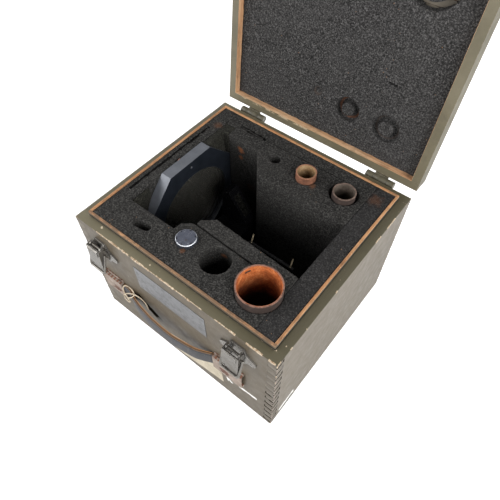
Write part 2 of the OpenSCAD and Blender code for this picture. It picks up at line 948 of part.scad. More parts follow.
// A hat section loop that traps one end of the strap
module strap_plate(x0, x1, slot_x0, slot_x1) {
  zc = strap_z;
  half = strap_w / 2 + 0.9;
  difference() {
    translate([x0, 0, 0])
      rotate([90, 0, 90])
        linear_extrude(x1 - x0)
          polygon([[face, zc - half - 7], [face - plate_t, zc - half - 7],
            [face - plate_t, zc - half - plate_t], [crown_y - plate_t, zc - half - plate_t],
            [crown_y - plate_t, zc + half + plate_t], [face - plate_t, zc + half + plate_t],
            [face - plate_t, zc + half + 6], [face, zc + half + 6], [face, zc + half],
            [crown_y, zc + half], [crown_y, zc - half], [face, zc - half]]);
    block([slot_x0, crown_y - plate_t - e, zc - 10], [slot_x1, crown_y + e / 5, zc - 7]);
    strap_screw_places()
      screw_hole(9, 1.4);
    stud_hole();
  }
}

module strap_screw_places() {
  half = strap_w / 2 + 4.3;
  for (x = [plate_l[0] + 6, plate_l[1] - 6, plate_r[0] + 7, plate_r[1] - 7])
    for (s = [-1, 1])
      on_front(x, strap_z + s * half, plate_t - 1.3)
        children();
}

module strap_plate_left() {
  color([0.72, 0.68, 0.55])
    strap_plate(plate_l[0], plate_l[1], plate_l[0] + 14, plate_l[1] - 8);
}

module strap_plate_right() {
  color([0.5, 0.47, 0.38])
    strap_plate(plate_r[0], plate_r[1], plate_r[0] + 12, plate_r[1] - 20);
}

module strap_screws() {
  color([0.45, 0.4, 0.32])
    strap_screw_places()
      screw(9, 1.4);
}

stud_at = [-91 * kx, strap_z - 9];
stud_out = 7;
stud_r = 2.2;

module stud_hole() {
  on_front(stud_at[0], stud_at[1], stud_out)
    translate([0, 0, -12])
      cylinder(h = 14, r = stud_r + screw_gap);
}

module strap_stud() {
  color([0.12, 0.11, 0.1])
    on_front(stud_at[0], stud_at[1], stud_out)
      union() {
        translate([0, 0, -11.5])
          cylinder(h = 12, r = stud_r);
        translate([0, 0, -2.2])
          cylinder(h = 2.4, r1 = 3.6, r2 = 3);
      }
}

// The string tied round the strap beside the left plate, from its tail to its free end
string_r = 0.9;
string_pts = [[-51, -143.8, 86.7], [-51.6, -143.8, 95.7], [-53.3, -144, 102.7],
  [-57, -144.4, 107.3], [-62, -144.9, 109], [-68, -145.6, 108.9], [-73, -146.4, 107.2],
  [-79, -147.8, 104.1], [-84.5, -148.4, 98.7], [-89.4, -148.8, 93.1],
  [-91.9, -149, 87.2], [-91.6, -149.2, 81.3], [-89, -149.3, 78.3],
  [-85.4, -149.4, 77.7], [-82, -149.6, 80.3], [-79.7, -150, 86.1], [-79.2, -151, 93.7],
  [-81, -151.4, 100.3], [-84.6, -150.6, 104.7], [-88, -148.7, 107.7],
  [-88.9, -146.1, 110], [-86.4, -144, 111.3], [-81.6, -143.2, 111.5],
  [-77, -143.1, 110], [-73.6, -143.7, 107.3], [-71.4, -145.3, 104.9],
  [-71.6, -147.9, 103.5], [-73.6, -150.4, 102.4], [-76.4, -152.2, 101.1]];

module handle_string() {
  color([0.74, 0.68, 0.55])
    translate([-0.3 * case_w * (1 - 1 / kx), face + 140, strap_z - 88.5])
      union() {
        for (i = [0 : len(string_pts) - 2])
          let (a = string_pts[i], d = string_pts[i + 1] - string_pts[i])
            translate(a)
              rotate([0, acos(d[2] / norm(d)), atan2(d[1], d[0])])
                cylinder(h = norm(d), r = string_r, $fn = 32);
        for (i = [1 : len(string_pts) - 2])
          let (d = string_pts[i + 1] - string_pts[i])
            translate(string_pts[i])
              rotate([0, acos(d[2] / norm(d)), atan2(d[1], d[0])])
                sphere(r = 1.2 * string_r, $fn = 32);
      }
}

// Blank panels on the front

module label_panel() {
  color([0.4, 0.42, 0.44])
    block([-57 * kx, face - 0.5, 135 * kz], [54 * kx, face, 180 * kz]);
}

module paper_patch() {
  color([0.8, 0.76, 0.64])
    translate([0, face, 0])
      rotate([90, 0, 0])
        linear_extrude(0.3)
          scale([kx, kz])
            polygon([[-56.7, 17], [-52, 8], [-44, 1], [20, 12], [73.3, 23.4], [72, 45],
              [69.3, 63.2], [52, 64], [48, 67], [10, 60], [-20, 48], [-38, 34]]);
}

// Objective in its octagonal mount, standing in its slot

module along_x(x) {
  translate([x, octagon_y, octagon_z])
    rotate([0, 90, 0])
      children();
}

module objective_screw_places() {
  for (a = [0 : 90 : 270])
    translate([plate_front_x, octagon_y, octagon_z])
      rotate([a, 0, 0])
        translate([0, 0, octagon_top - octagon_z - 8.8])
          rotate([0, 90, 0])
            children();
}

module objective_mount() {
  color([0.1, 0.11, 0.13])
    difference() {
      along_x(plate_rear_x)
        rotate([0, 0, 22.5])
          cylinder(h = octagon_t, r = octagon_w / 2 / cos(22.5), $fn = 8);
      along_x(plate_rear_x - e)
        cylinder(h = octagon_t + 2 * e, r = aperture_r, $fn = 128);
      along_x(plate_rear_x - e)
        cylinder(h = octagon_t - lip_t + e, r = lens_r + 0.05, $fn = 128);
      objective_screw_places()
        translate([0, 0, -9])
          cylinder(h = 9 + e, r = 1.9, $fn = 32);
    }
}

// A lens with a flat rim and two domed faces, turned about its own axis
module lens_shape(r, dome_r, edge, sag, n) {
  rr = (dome_r * dome_r + sag * sag) / (2 * sag);
  up = [for (i = [0 : n])
    let (q = dome_r * i / n)
    [q, edge / 2 + sqrt(rr * rr - q * q) - (rr - sag)]];
  low = [for (i = [n : -1 : 0])
    let (q = dome_r * i / n)
    [q, -edge / 2 - sqrt(rr * rr - q * q) + (rr - sag)]];
  rotate_extrude($fn = 128)
    polygon(concat(up, [[r, edge / 2], [r, -edge / 2]], low));
}

module objective_lens() {
  color([0.8, 0.86, 0.86, 0.3])
    along_x(plate_front_x - lip_t - lens_edge / 2)
      lens_shape(lens_r, aperture_r - 0.5, lens_edge, 3, 6);
}

module objective_ring() {
  color([0.12, 0.12, 0.13])
    along_x(plate_front_x - lip_t - lens_edge - ring_t)
      difference() {
        cylinder(h = ring_t, r = lens_r, $fn = 128);
        translate([0, 0, -e])
          cylinder(h = ring_t + 2 * e, r = aperture_r, $fn = 128);
      }
}

module objective_screws() {
  color([0.4, 0.4, 0.38])
    objective_screw_places()
      translate([0, 0, -9])
        difference() {
          cylinder(h = 7.2, r = 1.85, $fn = 32);
          translate([0, 0, 6])
            cylinder(h = 2, r = 0.9, $fn = 6);
        }
}

module eyelet() {
  color([0.72, 0.4, 0.26])
    translate([plate_rear_x - 0.7, eyelet_y, octagon_top - 3.2])
      rotate([0, 90, 0])
        rotate_extrude($fn = 48)
          translate([2.5, 0])
            circle(r = 0.7, $fn = 24);
}

// Reticle housing with its sloped window

module tower_profile(inset) {
  polygon([[housing_x0 + inset, housing_top - housing_wall - 1],
    [housing_x1 - inset, housing_top - housing_wall - 1],
    [housing_x1 - inset, slope_low[1] - inset * 0.6],
    [slope_top[0] - inset * 0.6, slope_top[1] - inset],
    [slope_top[0] - 11.4, slope_top[1] - 4.5 - inset], [housing_x0 + inset, housing_top]]);
}

module reticle_housing() {
  low = housing_z0 + foot_t;
  color([0.05, 0.05, 0.06])
    difference() {
      union() {
        block([housing_x0, housing_y0, housing_z0], [housing_x1, housing_y1, housing_top]);
        translate([0, housing_y1, 0])
          rotate([90, 0, 0])
            linear_extrude(tower_d)
              tower_profile(0);
        block([housing_x0, housing_y0, housing_z0], [board_x1, 40 * ky, low]);
      }
      block([housing_x0 + housing_wall, housing_y0 + housing_wall, low + housing_wall],
        [housing_x1 - housing_wall, housing_y1 - housing_wall, housing_top - housing_wall]);
      translate([0, housing_y1 - housing_wall, 0])
        rotate([90, 0, 0])
          linear_extrude(tower_d - 2 * housing_wall)
            tower_profile(housing_wall);
      window_place()
        cube([36, 12, 16], center = true);
    }
}

// The middle of the sloped face
module window_place() {
  c = (slope_top + slope_low) / 2;
  translate([c[0], housing_y1 - tower_d / 2, c[1]])
    rotate([0, slope_angle, 0])
      children();
}

module reticle_window() {
  color([0.5, 0.55, 0.55, 0.3])
    window_place()
      translate([0, 0, -1.6])
        cube([36, 12, 1.8], center = true);
}

// Place of the lit reticle at the middle of the low box
module reticle_place() {
  translate([(housing_x0 + housing_x1) / 2, (housing_y0 + housing_y1) / 2,
    housing_z0 + foot_t + housing_wall])
    children();
}

module reticle_disc() {
  color([0.7, 0.72, 0.7, 0.6])
    reticle_place()
      cylinder(h = 4, r = 17);
}

module reticle_lamp() {
  color([0.85, 0.85, 0.8])
    reticle_place()
      translate([0, 0, 4])
        union() {
          cylinder(h = 14, r = 5);
          translate([0, 0, 18])
            sphere(r = 6.5, $fn = 48);
        }
}

pin_r2 = 0.8;
pin_tilt = 22;
pin_xs = [37 * kx, 93 * kx];

module terminal_board() {
  color([0.06, 0.06, 0.06])
    difference() {
      block([board_x0, board_y0, housing_z0 + foot_t], [board_x1, board_y1, board_top]);
      pin_places()
        translate([0, 0, -6])
          cylinder(h = 7, r = pin_r2 + screw_gap, $fn = 32);
    }
}

module pin_places() {
  for (x = pin_xs)
    translate([x, (board_y0 + board_y1) / 2, board_top])
      children();
}

// Each pin is bent back a little where it leaves the board
module terminal_pins() {
  color([0.75, 0.68, 0.5])
    pin_places()
      union() {
        translate([0, 0, -5.6])
          cylinder(h = 6.2, r = pin_r2, $fn = 32);
        translate([0, 0, 0.6]) {
          sphere(r = 1.05 * pin_r2, $fn = 32);
          rotate([-pin_tilt, 0, 0])
            cylinder(h = 11.5, r = pin_r2, $fn = 32);
        }
      }
}

// Stowed tubes

module tube(at, r, wall, top, l) {
  translate([at[0], at[1], top - l])
    difference() {
      cylinder(h = l, r = r, $fn = 96);
      translate([0, 0, 3])
        cylinder(h = l, r = r - wall, $fn = 96);
    }
}

module tube_small() {
  color([0.7, 0.45, 0.3])
    tube(tube_a_at, tube_a_r, tube_a_wall, tube_a_top, tube_a_l);
}

module tube_middle() {
  color([0.45, 0.38, 0.34])
    tube(tube_b_at, tube_b_r, tube_b_wall, tube_b_top, tube_b_l);
}

module tube_large() {
  color([0.62, 0.36, 0.22])
    difference() {
      tube(tube_c_at, tube_c_r, tube_c_wall, tube_c_top, tube_c_l);
      translate([tube_c_at[0], tube_c_at[1], tube_c_top - 9])
        rotate([0, 0, 158])
          translate([tube_c_r - tube_c_wall - 1, -3.5, 0])
            cube([tube_c_wall + 3, 7, 3.6]);
    }
}

// Knob: a face on a fluted skirt, with its stem down in the foam

knob_t = 4.7;
stem_r = 4;

module knob_head() {
  skirt_r = knob_r + 1.1;
  color([0.25, 0.27, 0.32])
    translate([knob_at[0], knob_at[1], knob_top - knob_t])
      union() {
        difference() {
          cylinder(h = 2.8, r = skirt_r);
          for (a = [0 : 60 : 300])
            rotate([0, 0, a])
              translate([skirt_r + 3.6, 0, -e])
                cylinder(h = 4, r = 4.8);
        }
        translate([0, 0, 2.4])
          cylinder(h = 1.5, r = knob_r);
        translate([0, 0, 3.89])
          cylinder(h = knob_t - 3.89, r1 = knob_r, r2 = knob_r - 0.8);
        translate([0, 0, -stem_l])
          cylinder(h = stem_l + 1, r = stem_r);
      }
}

board_front();
board_back();
board_left();
board_right();
board_bottom();
liner_front();
liner_back();
liner_left();
liner_right();
lid_rail_front();
lid_rail_back();
lid_rail_left();
lid_rail_right();
lid_panel();
lid_foam();
foam_base();
foam_left();
foam_back();
foam_right();
foam_front();
foam_divider();
foam_wedges();
hinge_body_leaves();
hinge_lid_leaves();
hinge_pins();
hinge_body_screws();
hinge_lid_screws();
latch_bases();
latch_pins();
latch_screws();
latch_lever_left();
latch_lever_right();
latch_bail_left();
latch_bail_right();
lid_keepers();
keeper_screws();
strap_leather();
strap_lining();
strap_plate_left();
strap_plate_right();
strap_screws();
strap_stud();
handle_string();
label_panel();
paper_patch();
objective_mount();
objective_lens();
objective_ring();
objective_screws();
eyelet();
reticle_housing();
reticle_window();
reticle_disc();
reticle_lamp();
terminal_board();
terminal_pins();
tube_small();
tube_middle();
tube_large();
knob_head();
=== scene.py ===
import math

import bmesh
import bpy
import numpy as np
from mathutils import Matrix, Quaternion, Vector, noise


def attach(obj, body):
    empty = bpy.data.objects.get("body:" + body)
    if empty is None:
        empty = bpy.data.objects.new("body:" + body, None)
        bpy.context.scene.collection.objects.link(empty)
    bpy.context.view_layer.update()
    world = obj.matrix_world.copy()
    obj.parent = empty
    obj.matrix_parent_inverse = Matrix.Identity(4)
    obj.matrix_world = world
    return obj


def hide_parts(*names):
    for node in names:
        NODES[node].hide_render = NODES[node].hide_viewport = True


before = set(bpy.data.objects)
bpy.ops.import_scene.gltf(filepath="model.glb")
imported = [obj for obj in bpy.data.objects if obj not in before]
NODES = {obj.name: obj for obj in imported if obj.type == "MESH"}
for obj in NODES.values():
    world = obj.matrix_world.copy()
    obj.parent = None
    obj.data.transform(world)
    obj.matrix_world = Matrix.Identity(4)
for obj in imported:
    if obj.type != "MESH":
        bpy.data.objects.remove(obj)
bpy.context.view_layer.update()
MM = 0.001

# Places in the frame, in metres: the front of the case, its right side and its rim
FRONT_Y, SIDE_X, RIM_Z = -0.140, 0.1525, 0.200
LINER_TOP, FOAM_TOP = 0.2075, 0.2065
HINGE_AXIS, LID_TURN = Vector((0, 0.147, 0.1975)), math.radians(95.5)
# Centres of the three tubes and of the knob
SMALL_AT, MIDDLE_AT, LARGE_AT = (0.0317, 0.0822), (0.0864, 0.0849), (0.0885, -0.0871)
KNOB_AT = (-0.0187, -0.0854)
# A point this near to a face of the case lies on it, and a streak reaches this far from its face
ON_FACE, STREAK_DEPTH = 0.0007, 0.0006


def new_object(name, mesh):
    obj = bpy.data.objects.new(name, mesh)
    bpy.context.scene.collection.objects.link(obj)
    return obj


def facing(obj, place, target):
    """Puts a camera or lamp at a place, looking at the target."""
    obj.location = place
    obj.rotation_mode = "QUATERNION"
    obj.rotation_quaternion = (Vector(target) - Vector(place)).to_track_quat("-Z", "Y")


# Camera, fitted to the edges of the case in the photograph
cam = new_object("camera", bpy.data.cameras.new("camera"))
bpy.context.scene.camera = cam
cam.data.sensor_width, cam.data.lens = 36, 33.87
cam.data.clip_start, cam.data.clip_end = 0.01, 50
az, el, roll = math.radians(38.454), math.radians(54.480), math.radians(0.129)
distance = 0.54085
back = Vector((math.sin(az) * math.cos(el), -math.cos(az) * math.cos(el), math.sin(el)))
target = Vector((0.04423, -0.04734, 0.2))
facing(cam, target + back * distance, target)
cam.rotation_quaternion = cam.rotation_quaternion @ Quaternion((0, 0, 1), roll)


# The string round the strap: its route in metres, from the strap to the free tail
STRING = [(-0.0764, -0.1522, 0.1011), (-0.0736, -0.1504, 0.1024), (-0.0716, -0.1479, 0.1035),
          (-0.0714, -0.1453, 0.1049), (-0.0736, -0.1437, 0.1073), (-0.0770, -0.1431, 0.1100),
          (-0.0816, -0.1432, 0.1115), (-0.0864, -0.1440, 0.1113), (-0.0889, -0.1461, 0.1100),
          (-0.0880, -0.1487, 0.1077), (-0.0846, -0.1506, 0.1047), (-0.0810, -0.1514, 0.1003),
          (-0.0792, -0.1510, 0.0937), (-0.0797, -0.1500, 0.0861), (-0.0820, -0.1496, 0.0803),
          (-0.0854, -0.1494, 0.0777), (-0.0890, -0.1493, 0.0783), (-0.0916, -0.1492, 0.0813),
          (-0.0919, -0.1490, 0.0872), (-0.0894, -0.1488, 0.0931), (-0.0845, -0.1484, 0.0987),
          (-0.0790, -0.1478, 0.1041), (-0.0730, -0.1464, 0.1072), (-0.0680, -0.1456, 0.1089),
          (-0.0620, -0.1449, 0.1090), (-0.0570, -0.1444, 0.1073), (-0.0533, -0.1440, 0.1027),
          (-0.0516, -0.1438, 0.0957), (-0.0510, -0.1438, 0.0867)]
STRING_R = 0.0009


def rounded_path(points, step):
    """A smooth curve through the points, in short steps."""
    pts = [Vector(p) for p in points]
    out = []
    for i in range(len(pts) - 1):
        p0, p1, p2, p3 = pts[max(i - 1, 0)], pts[i], pts[i + 1], pts[min(i + 2, len(pts) - 1)]
        n = max(2, int((p2 - p1).length / step))
        for j in range(n):
            t = j / n
            out.append(0.5 * (2 * p1 + (p2 - p0) * t + (2 * p0 - 5 * p1 + 4 * p2 - p3) * t * t
                              + (3 * p1 - p0 - 3 * p2 + p3) * t ** 3))
    out.append(pts[-1])
    return out


def twine(name, path, radius, strands=3, pitch=0.0045, around=15):
    """Laid string: a tube whose section has one lobe a strand and turns along the path."""
    bm = bmesh.new()
    rings, run, side = [], 0.0, Vector((0, 0, 1))
    for i, c in enumerate(path):
        ahead, behind = path[min(i + 1, len(path) - 1)], path[max(i - 1, 0)]
        along = (ahead - behind).normalized()
        side = (side - along * side.dot(along)).normalized()
        up = along.cross(side)
        run += (c - path[i - 1]).length if i else 0
        ring = []
        for k in range(around):
            a = 2 * math.pi * k / around
            r = radius * (0.87 + 0.13 * math.cos(strands * (a - 2 * math.pi * run / (pitch * strands))))
            ring.append(bm.verts.new(c + (side * math.cos(a) + up * math.sin(a)) * r))
        rings.append(ring)
    for r0, r1 in zip(rings, rings[1:]):
        for k in range(around):
            bm.faces.new((r0[k], r0[(k + 1) % around], r1[(k + 1) % around], r1[k]))
    bm.faces.new(rings[0])
    bm.faces.new(rings[-1][::-1])
    bmesh.ops.recalc_face_normals(bm, faces=bm.faces)
    mesh = bpy.data.meshes.new(name)
    bm.to_mesh(mesh)
    bm.free()
    for poly in mesh.polygons:
        poly.use_smooth = True
    return new_object(name, mesh)


string_path = rounded_path(STRING, 0.0009)
string = twine("strap_string", string_path, STRING_R)
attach(string, "case")
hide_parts("handle_string")


class Mat:
    """A material built from nodes; n() adds a node and gives one of its outputs."""

    def __init__(self, name):
        self.m = bpy.data.materials.new(name)
        self.m.use_nodes = True
        self.t = self.m.node_tree
        self.t.nodes.clear()
        self.out = self.t.nodes.new("ShaderNodeOutputMaterial")

    def put(self, socket, value):
        if isinstance(value, bpy.types.NodeSocket):
            self.t.links.new(value, socket)
        elif socket.type == "RGBA" and len(value) == 3:
            socket.default_value = (*value, 1)
        else:
            socket.default_value = value

    def n(self, kind, ins=None, out=0, **attrs):
        node = self.t.nodes.new("ShaderNode" + kind)
        for key, value in attrs.items():
            setattr(node, key, value)
        for key, value in (ins or {}).items():
            self.put(node.inputs[key], value)
        return node.outputs[out]

    def pos(self):
        return self.n("TexCoord", out=3)

    def scaled(self, vec, s):
        return self.n("Mapping", {"Vector": vec, "Scale": s})

    def noise(self, vec, scale, detail=4, rough=0.55, dist=0.0):
        return self.n("TexNoise", {"Vector": vec, "Scale": scale, "Detail": detail,
                                   "Roughness": rough, "Distortion": dist})

    def voro(self, vec, scale):
        return self.n("TexVoronoi", {"Vector": vec, "Scale": scale})

    def ramp(self, fac, stops, interp="LINEAR"):
        node = self.t.nodes.new("ShaderNodeValToRGB")
        node.color_ramp.interpolation = interp
        elements = node.color_ramp.elements
        for i, (at, c) in enumerate(stops):
            element = elements[i] if i < 2 else elements.new(at)
            element.position = at
            element.color = (*((c,) * 3 if isinstance(c, (int, float)) else c), 1)
        self.put(node.inputs["Fac"], fac)
        return node.outputs["Color"]

    def mix(self, fac, a, b):
        node = self.t.nodes.new("ShaderNodeMix")
        node.data_type = "RGBA"
        self.put(node.inputs["Factor"], fac)
        self.put(node.inputs["A"], a)
        self.put(node.inputs["B"], b)
        return node.outputs["Result"]

    def math(self, op, a, b=None):
        node = self.t.nodes.new("ShaderNodeMath")
        node.operation = op
        for i, v in enumerate((a, b)):
            if v is not None:
                self.put(node.inputs[i], v)
        return node.outputs[0]

    def mul(self, *values):
        out = values[0]
        for v in values[1:]:
            out = self.math("MULTIPLY", out, v)
        return out

    def sub(self, a, b):
        return self.math("SUBTRACT", a, b)

    def add(self, a, b):
        return self.math("ADD", a, b)

    def below(self, a, b):
        return self.math("LESS_THAN", a, b)

    def above(self, a, b):
        return self.math("GREATER_THAN", a, b)

    def gap(self, a, b):
        return self.math("ABSOLUTE", self.sub(a, b))

    def hypot(self, a, b):
        return self.math("SQRT", self.add(self.mul(a, a), self.mul(b, b)))

    def span(self, value, a, b, to=(0.0, 1.0)):
        """Runs from to[0] at a to to[1] at b, clamped."""
        return self.n("MapRange", {"Value": value, "From Min": a, "From Max": b,
                                   "To Min": to[0], "To Max": to[1]})

    def xyz(self, vec):
        node = self.t.nodes.new("ShaderNodeSeparateXYZ")
        self.put(node.inputs[0], vec)
        return node.outputs

    def away(self, p, place):
        return self.n("VectorMath", {0: p, 1: place}, out=1, operation="DISTANCE")

    def facing_up(self, low, high):
        return self.span(self.xyz(self.n("NewGeometry", out=1))[2], low, high)

    def bump(self, height, dist, strength=1.0):
        return self.n("Bump", {"Height": height, "Distance": dist, "Strength": strength})

    def edge(self, radius, low=0.02, high=0.2):
        """1 on sharp edges, 0 on flats."""
        b = self.n("Bevel", {"Radius": radius}, samples=4)
        g = self.n("NewGeometry", out=1)
        d = self.n("VectorMath", {0: b, 1: g}, out=1, operation="DOT_PRODUCT")
        return self.span(self.sub(1.0, d), low, high)

    def crevice(self, reach, low=0.35, high=0.85):
        """1 deep in a corner or slot, 0 in the open; it places painted shade."""
        ao = self.n("AmbientOcclusion", {"Distance": reach}, out=1, samples=8)
        return self.span(ao, high, low)

    def steps(self, value, low, high, pairs):
        """1 inside the listed stretches of a value that runs from low to high."""
        stops = [(0.0, 0)]
        for a, b in pairs:
            stops += [((a - low) / (high - low), 1), ((b - low) / (high - low), 0)]
        return self.ramp(self.span(value, low, high), stops, "CONSTANT")

    def surface(self, **ins):
        node = self.t.nodes.new("ShaderNodeBsdfPrincipled")
        for key, value in ins.items():
            self.put(node.inputs[key.replace("_", " ")], value)
        self.t.links.new(node.outputs[0], self.out.inputs["Surface"])
        return self.m


# Paint
OLIVE, OLIVE_DARK, OLIVE_LIGHT = (0.118, 0.102, 0.064), (0.088, 0.076, 0.046), (0.150, 0.131, 0.086)
# Paler taupe that the upright faces take as a painted sheen
UPRIGHT_SHEEN = (0.143, 0.120, 0.094)
RIM_LIGHT, RIM_DARK = (0.158, 0.140, 0.087), (0.075, 0.066, 0.037)
CREAM, BARE, WHITE = (0.70, 0.58, 0.42), (0.30, 0.19, 0.10), (0.80, 0.79, 0.77)
SOOT = (0.02, 0.018, 0.015)
# Stretches of chipped edge: along the front arris, the right arris and the front corner
FRONT_CHIPS = [(-0.108, -0.1065), (-0.0945, -0.0755), (-0.0719, -0.0603), (-0.0571, -0.0277),
               (-0.0103, 0.0111), (0.031, 0.034), (0.0892, 0.098), (0.1118, 0.1328), (0.1406, 0.1500)]
SIDE_CHIPS = [(-0.140, -0.134), (-0.118, -0.115), (-0.09, -0.0885), (-0.034, -0.031), (0.051, 0.064),
              (0.0788, 0.0993), (0.128, 0.1365)]
CORNER_CHIPS = [(0.0, 0.006), (0.151, 0.154), (0.168, 0.172), (0.194, 0.2)]
# Thinner chips on the front arris, beside and between the large ones
FINE_CHIPS = [(-0.1150, -0.0940), (-0.0755, -0.0719), (-0.0300, 0.0520), (0.0700, 0.0900)]
# Streaks: both ends on the face, half width, and on the side the tint and how broken the streak is
FRONT_STREAKS = [((0.1005, 0.0515), (0.1290, 0.0550), 0.0026),
                 ((0.0797, 0.0535), (0.0866, 0.0550), 0.0018),
                 ((0.0803, 0.0520), (0.0825, 0.0415), 0.0012),
                 ((0.0825, 0.0510), (0.0892, 0.0430), 0.0020)]
SIDE_STREAKS = [((-0.1225, 0.0140), (-0.0895, 0.0185), 0.0048, WHITE, 0.25),
                ((-0.1222, 0.0050), (-0.0900, 0.0080), 0.0020, SOOT, 0.35)]
# Comb joint: the height of one finger, and how far the joint reaches from the corner
FINGER, JOINT = 0.008, 0.012
# Painted shadow on the front board behind the strap: where it starts, and its direction, both in x and z
STRAP_SHADOW_FROM, STRAP_SHADOW_RUN = (-0.074, 0.098), (0.8, -0.6)
# Bare spots on the top of the rim
RIM_BLOBS = [((-0.1138, -0.1320, RIM_Z), 0.0017), ((-0.0307, -0.1337, RIM_Z), 0.0010),
             ((0.1234, -0.1188, RIM_Z), 0.0006), ((0.1417, -0.1272, RIM_Z), 0.0007),
             ((0.1468, -0.1174, RIM_Z), 0.0006)]


def olive_paint(m, p):
    """Cloudy brushed paint: its colour and the two noises that make it."""
    cloud = m.noise(p, 14, 5, 0.6)
    fine = m.noise(p, 240, 4, 0.6)
    col = m.ramp(cloud, [(0.3, OLIVE_DARK), (0.52, OLIVE), (0.75, OLIVE_LIGHT)])
    col = m.mix(m.mul(m.ramp(fine, [(0.42, 0), (0.7, 1)]), 0.16), col, OLIVE_LIGHT)
    dirt_and_shade = m.ramp(m.noise(p, 45, 6, 0.7), [(0.56, 0), (0.74, 1)])
    return m.mix(m.mul(dirt_and_shade, 0.32), col, (0.035, 0.03, 0.02)), fine


def chipped(m, p, col, along, low, high, across, pairs, width=0.0012, drop=0.4):
    """Cream wood showing on stretches of one arris."""
    d = m.hypot(m.sub(*across[0]), m.mul(m.sub(*across[1]), drop))
    ragged = m.span(m.noise(p, 110, 4, 0.6), 0.3, 0.62, (0.55, 1.35))
    mask = m.below(d, m.mul(m.steps(along, low, high, pairs), ragged, width))
    tint = m.mix(m.ramp(m.noise(p, 420), [(0.4, 0), (0.6, 1)]), CREAM, BARE)
    return m.mix(m.mul(mask, 0.92), col, tint)


def streak(m, p, col, a, b, width, axis, face_at, tint, fray=0.45):
    """A ragged smear along the line a-b on one face of the case."""
    s = dict(zip("xyz", m.xyz(p)))
    u, v = [k for k in "xyz" if k != axis]
    du, dv = b[0] - a[0], b[1] - a[1]
    length = math.hypot(du, dv)
    ru, rv = m.sub(s[u], a[0]), m.sub(s[v], a[1])
    t = m.add(m.mul(ru, du / length), m.mul(rv, dv / length))
    d = m.gap(m.mul(rv, du / length), m.mul(ru, dv / length))
    d = m.add(d, m.mul(m.sub(m.noise(p, 160, 3), 0.5), width * 2))
    mask = m.mul(m.below(d, width), m.above(t, 0.0), m.below(t, length),
                 m.below(m.gap(s[axis], face_at), STREAK_DEPTH))
    mask = m.mul(mask, m.ramp(m.noise(p, 900, 3), [(fray - 0.1, 0), (fray, 1)]))
    return m.mix(m.mul(mask, 0.95), col, tint)


def comb(m, p, col):
    """Comb joint of the front corner: every second glue line has opened, most of all lower down."""
    x, y, z = m.xyz(p)
    pair = m.math("FRACT", m.mul(z, 0.5 / FINGER))
    half = m.gap(pair, 0.5)
    wide = m.add(0.115, m.mul(m.sub(m.noise(p, 140, 3), 0.5), 0.08))
    front_line, side_line = m.below(half, wide), m.above(half, m.sub(0.5, wide))
    on_front = m.mul(m.below(m.gap(y, FRONT_Y), ON_FACE), m.above(x, SIDE_X - JOINT))
    on_side = m.mul(m.below(m.gap(x, SIDE_X), ON_FACE), m.below(y, FRONT_Y + JOINT))
    end_f = m.mul(on_front, m.below(x, SIDE_X - JOINT + 0.0016), m.below(m.gap(pair, 0.66), 0.17))
    end_s = m.mul(on_side, m.above(y, FRONT_Y + JOINT - 0.0022), m.below(m.gap(pair, 0.17), 0.17))
    worn = m.ramp(m.noise(p, 95, 3), [(0.34, 0.7), (0.46, 1)])
    low = m.ramp(z, [(0.0, 1), (0.113, 1), (0.128, 0.3), (0.2, 0.35)])
    strong = m.math("MAXIMUM", m.mul(on_front, front_line, low), m.mul(on_side, side_line))
    strong = m.math("MAXIMUM", strong, m.math("MAXIMUM", m.mul(end_f, low), end_s))
    faint = m.mul(m.math("MAXIMUM", m.mul(on_front, side_line), m.mul(on_side, front_line)), 0.22)
    mask = m.mul(m.math("MAXIMUM", strong, faint), worn)
    rubbed = m.mul(m.below(m.gap(x, SIDE_X), ON_FACE), m.span(y, FRONT_Y + 0.0045, FRONT_Y + 0.002))
    patchy = m.span(m.noise(p, 60, 4), 0.35, 0.6, (0.15, 0.5))
    col = m.mix(m.mul(rubbed, patchy), col, (0.33, 0.27, 0.225))
    return m.mix(mask, col, (0.014, 0.010, 0.006)), mask


def painted_shade(m, p, col):
    """Painted shadow, nearly black, on the front board behind the left half of the strap."""
    x, y, z = m.xyz(p)
    dx, dz = m.sub(x, STRAP_SHADOW_FROM[0]), m.sub(z, STRAP_SHADOW_FROM[1])
    run_x, run_z = STRAP_SHADOW_RUN
    along = m.add(m.mul(dx, run_x), m.mul(dz, run_z))
    off = m.math("ABSOLUTE", m.add(m.mul(dx, -run_z), m.mul(dz, run_x)))
    soft = m.mul(m.span(off, 0.0115, 0.0060), m.span(along, -0.006, 0.003), m.span(along, 0.066, 0.040),
                 m.below(m.gap(y, FRONT_Y), ON_FACE))
    return m.mix(m.mul(soft, 0.97), col, (0.006, 0.005, 0.003))


def case_marks(m, p, col):
    """Wear that the photograph shows at known places of the front and the right side, and a painted shadow
    behind the strap.
    """
    x, y, z = m.xyz(p)
    front, side, rim = (y, FRONT_Y), (x, SIDE_X), (z, RIM_Z)
    col, cut = comb(m, p, col)
    col = chipped(m, p, col, x, -0.16, 0.16, (front, rim), FRONT_CHIPS)
    col = chipped(m, p, col, x, -0.16, 0.16, (front, rim), FINE_CHIPS, 0.0007, 0.7)
    col = chipped(m, p, col, y, -0.145, 0.145, (side, rim), SIDE_CHIPS, 0.0008)
    # Painted shadow behind the strap
    col = painted_shade(m, p, col)
    col = chipped(m, p, col, z, -0.001, 0.201, (front, side), CORNER_CHIPS, 0.0008, 1.0)
    for a, b, w in FRONT_STREAKS:
        col = streak(m, p, col, a, b, w, "y", FRONT_Y, WHITE, 0.33)
    for a, b, w, tint, fray in SIDE_STREAKS:
        col = streak(m, p, col, a, b, w, "x", SIDE_X, tint, fray)
    for place, r in RIM_BLOBS:
        d = m.add(m.away(p, place), m.mul(m.sub(m.noise(p, 350, 3), 0.5), r * 1.6))
        col = m.mix(m.mul(m.below(d, r), 0.8), col, CREAM)
    return col, cut


def paint_rough(m, p):
    return m.ramp(m.noise(p, 80, 4, 0.6), [(0.3, 0.4), (0.7, 0.56)])


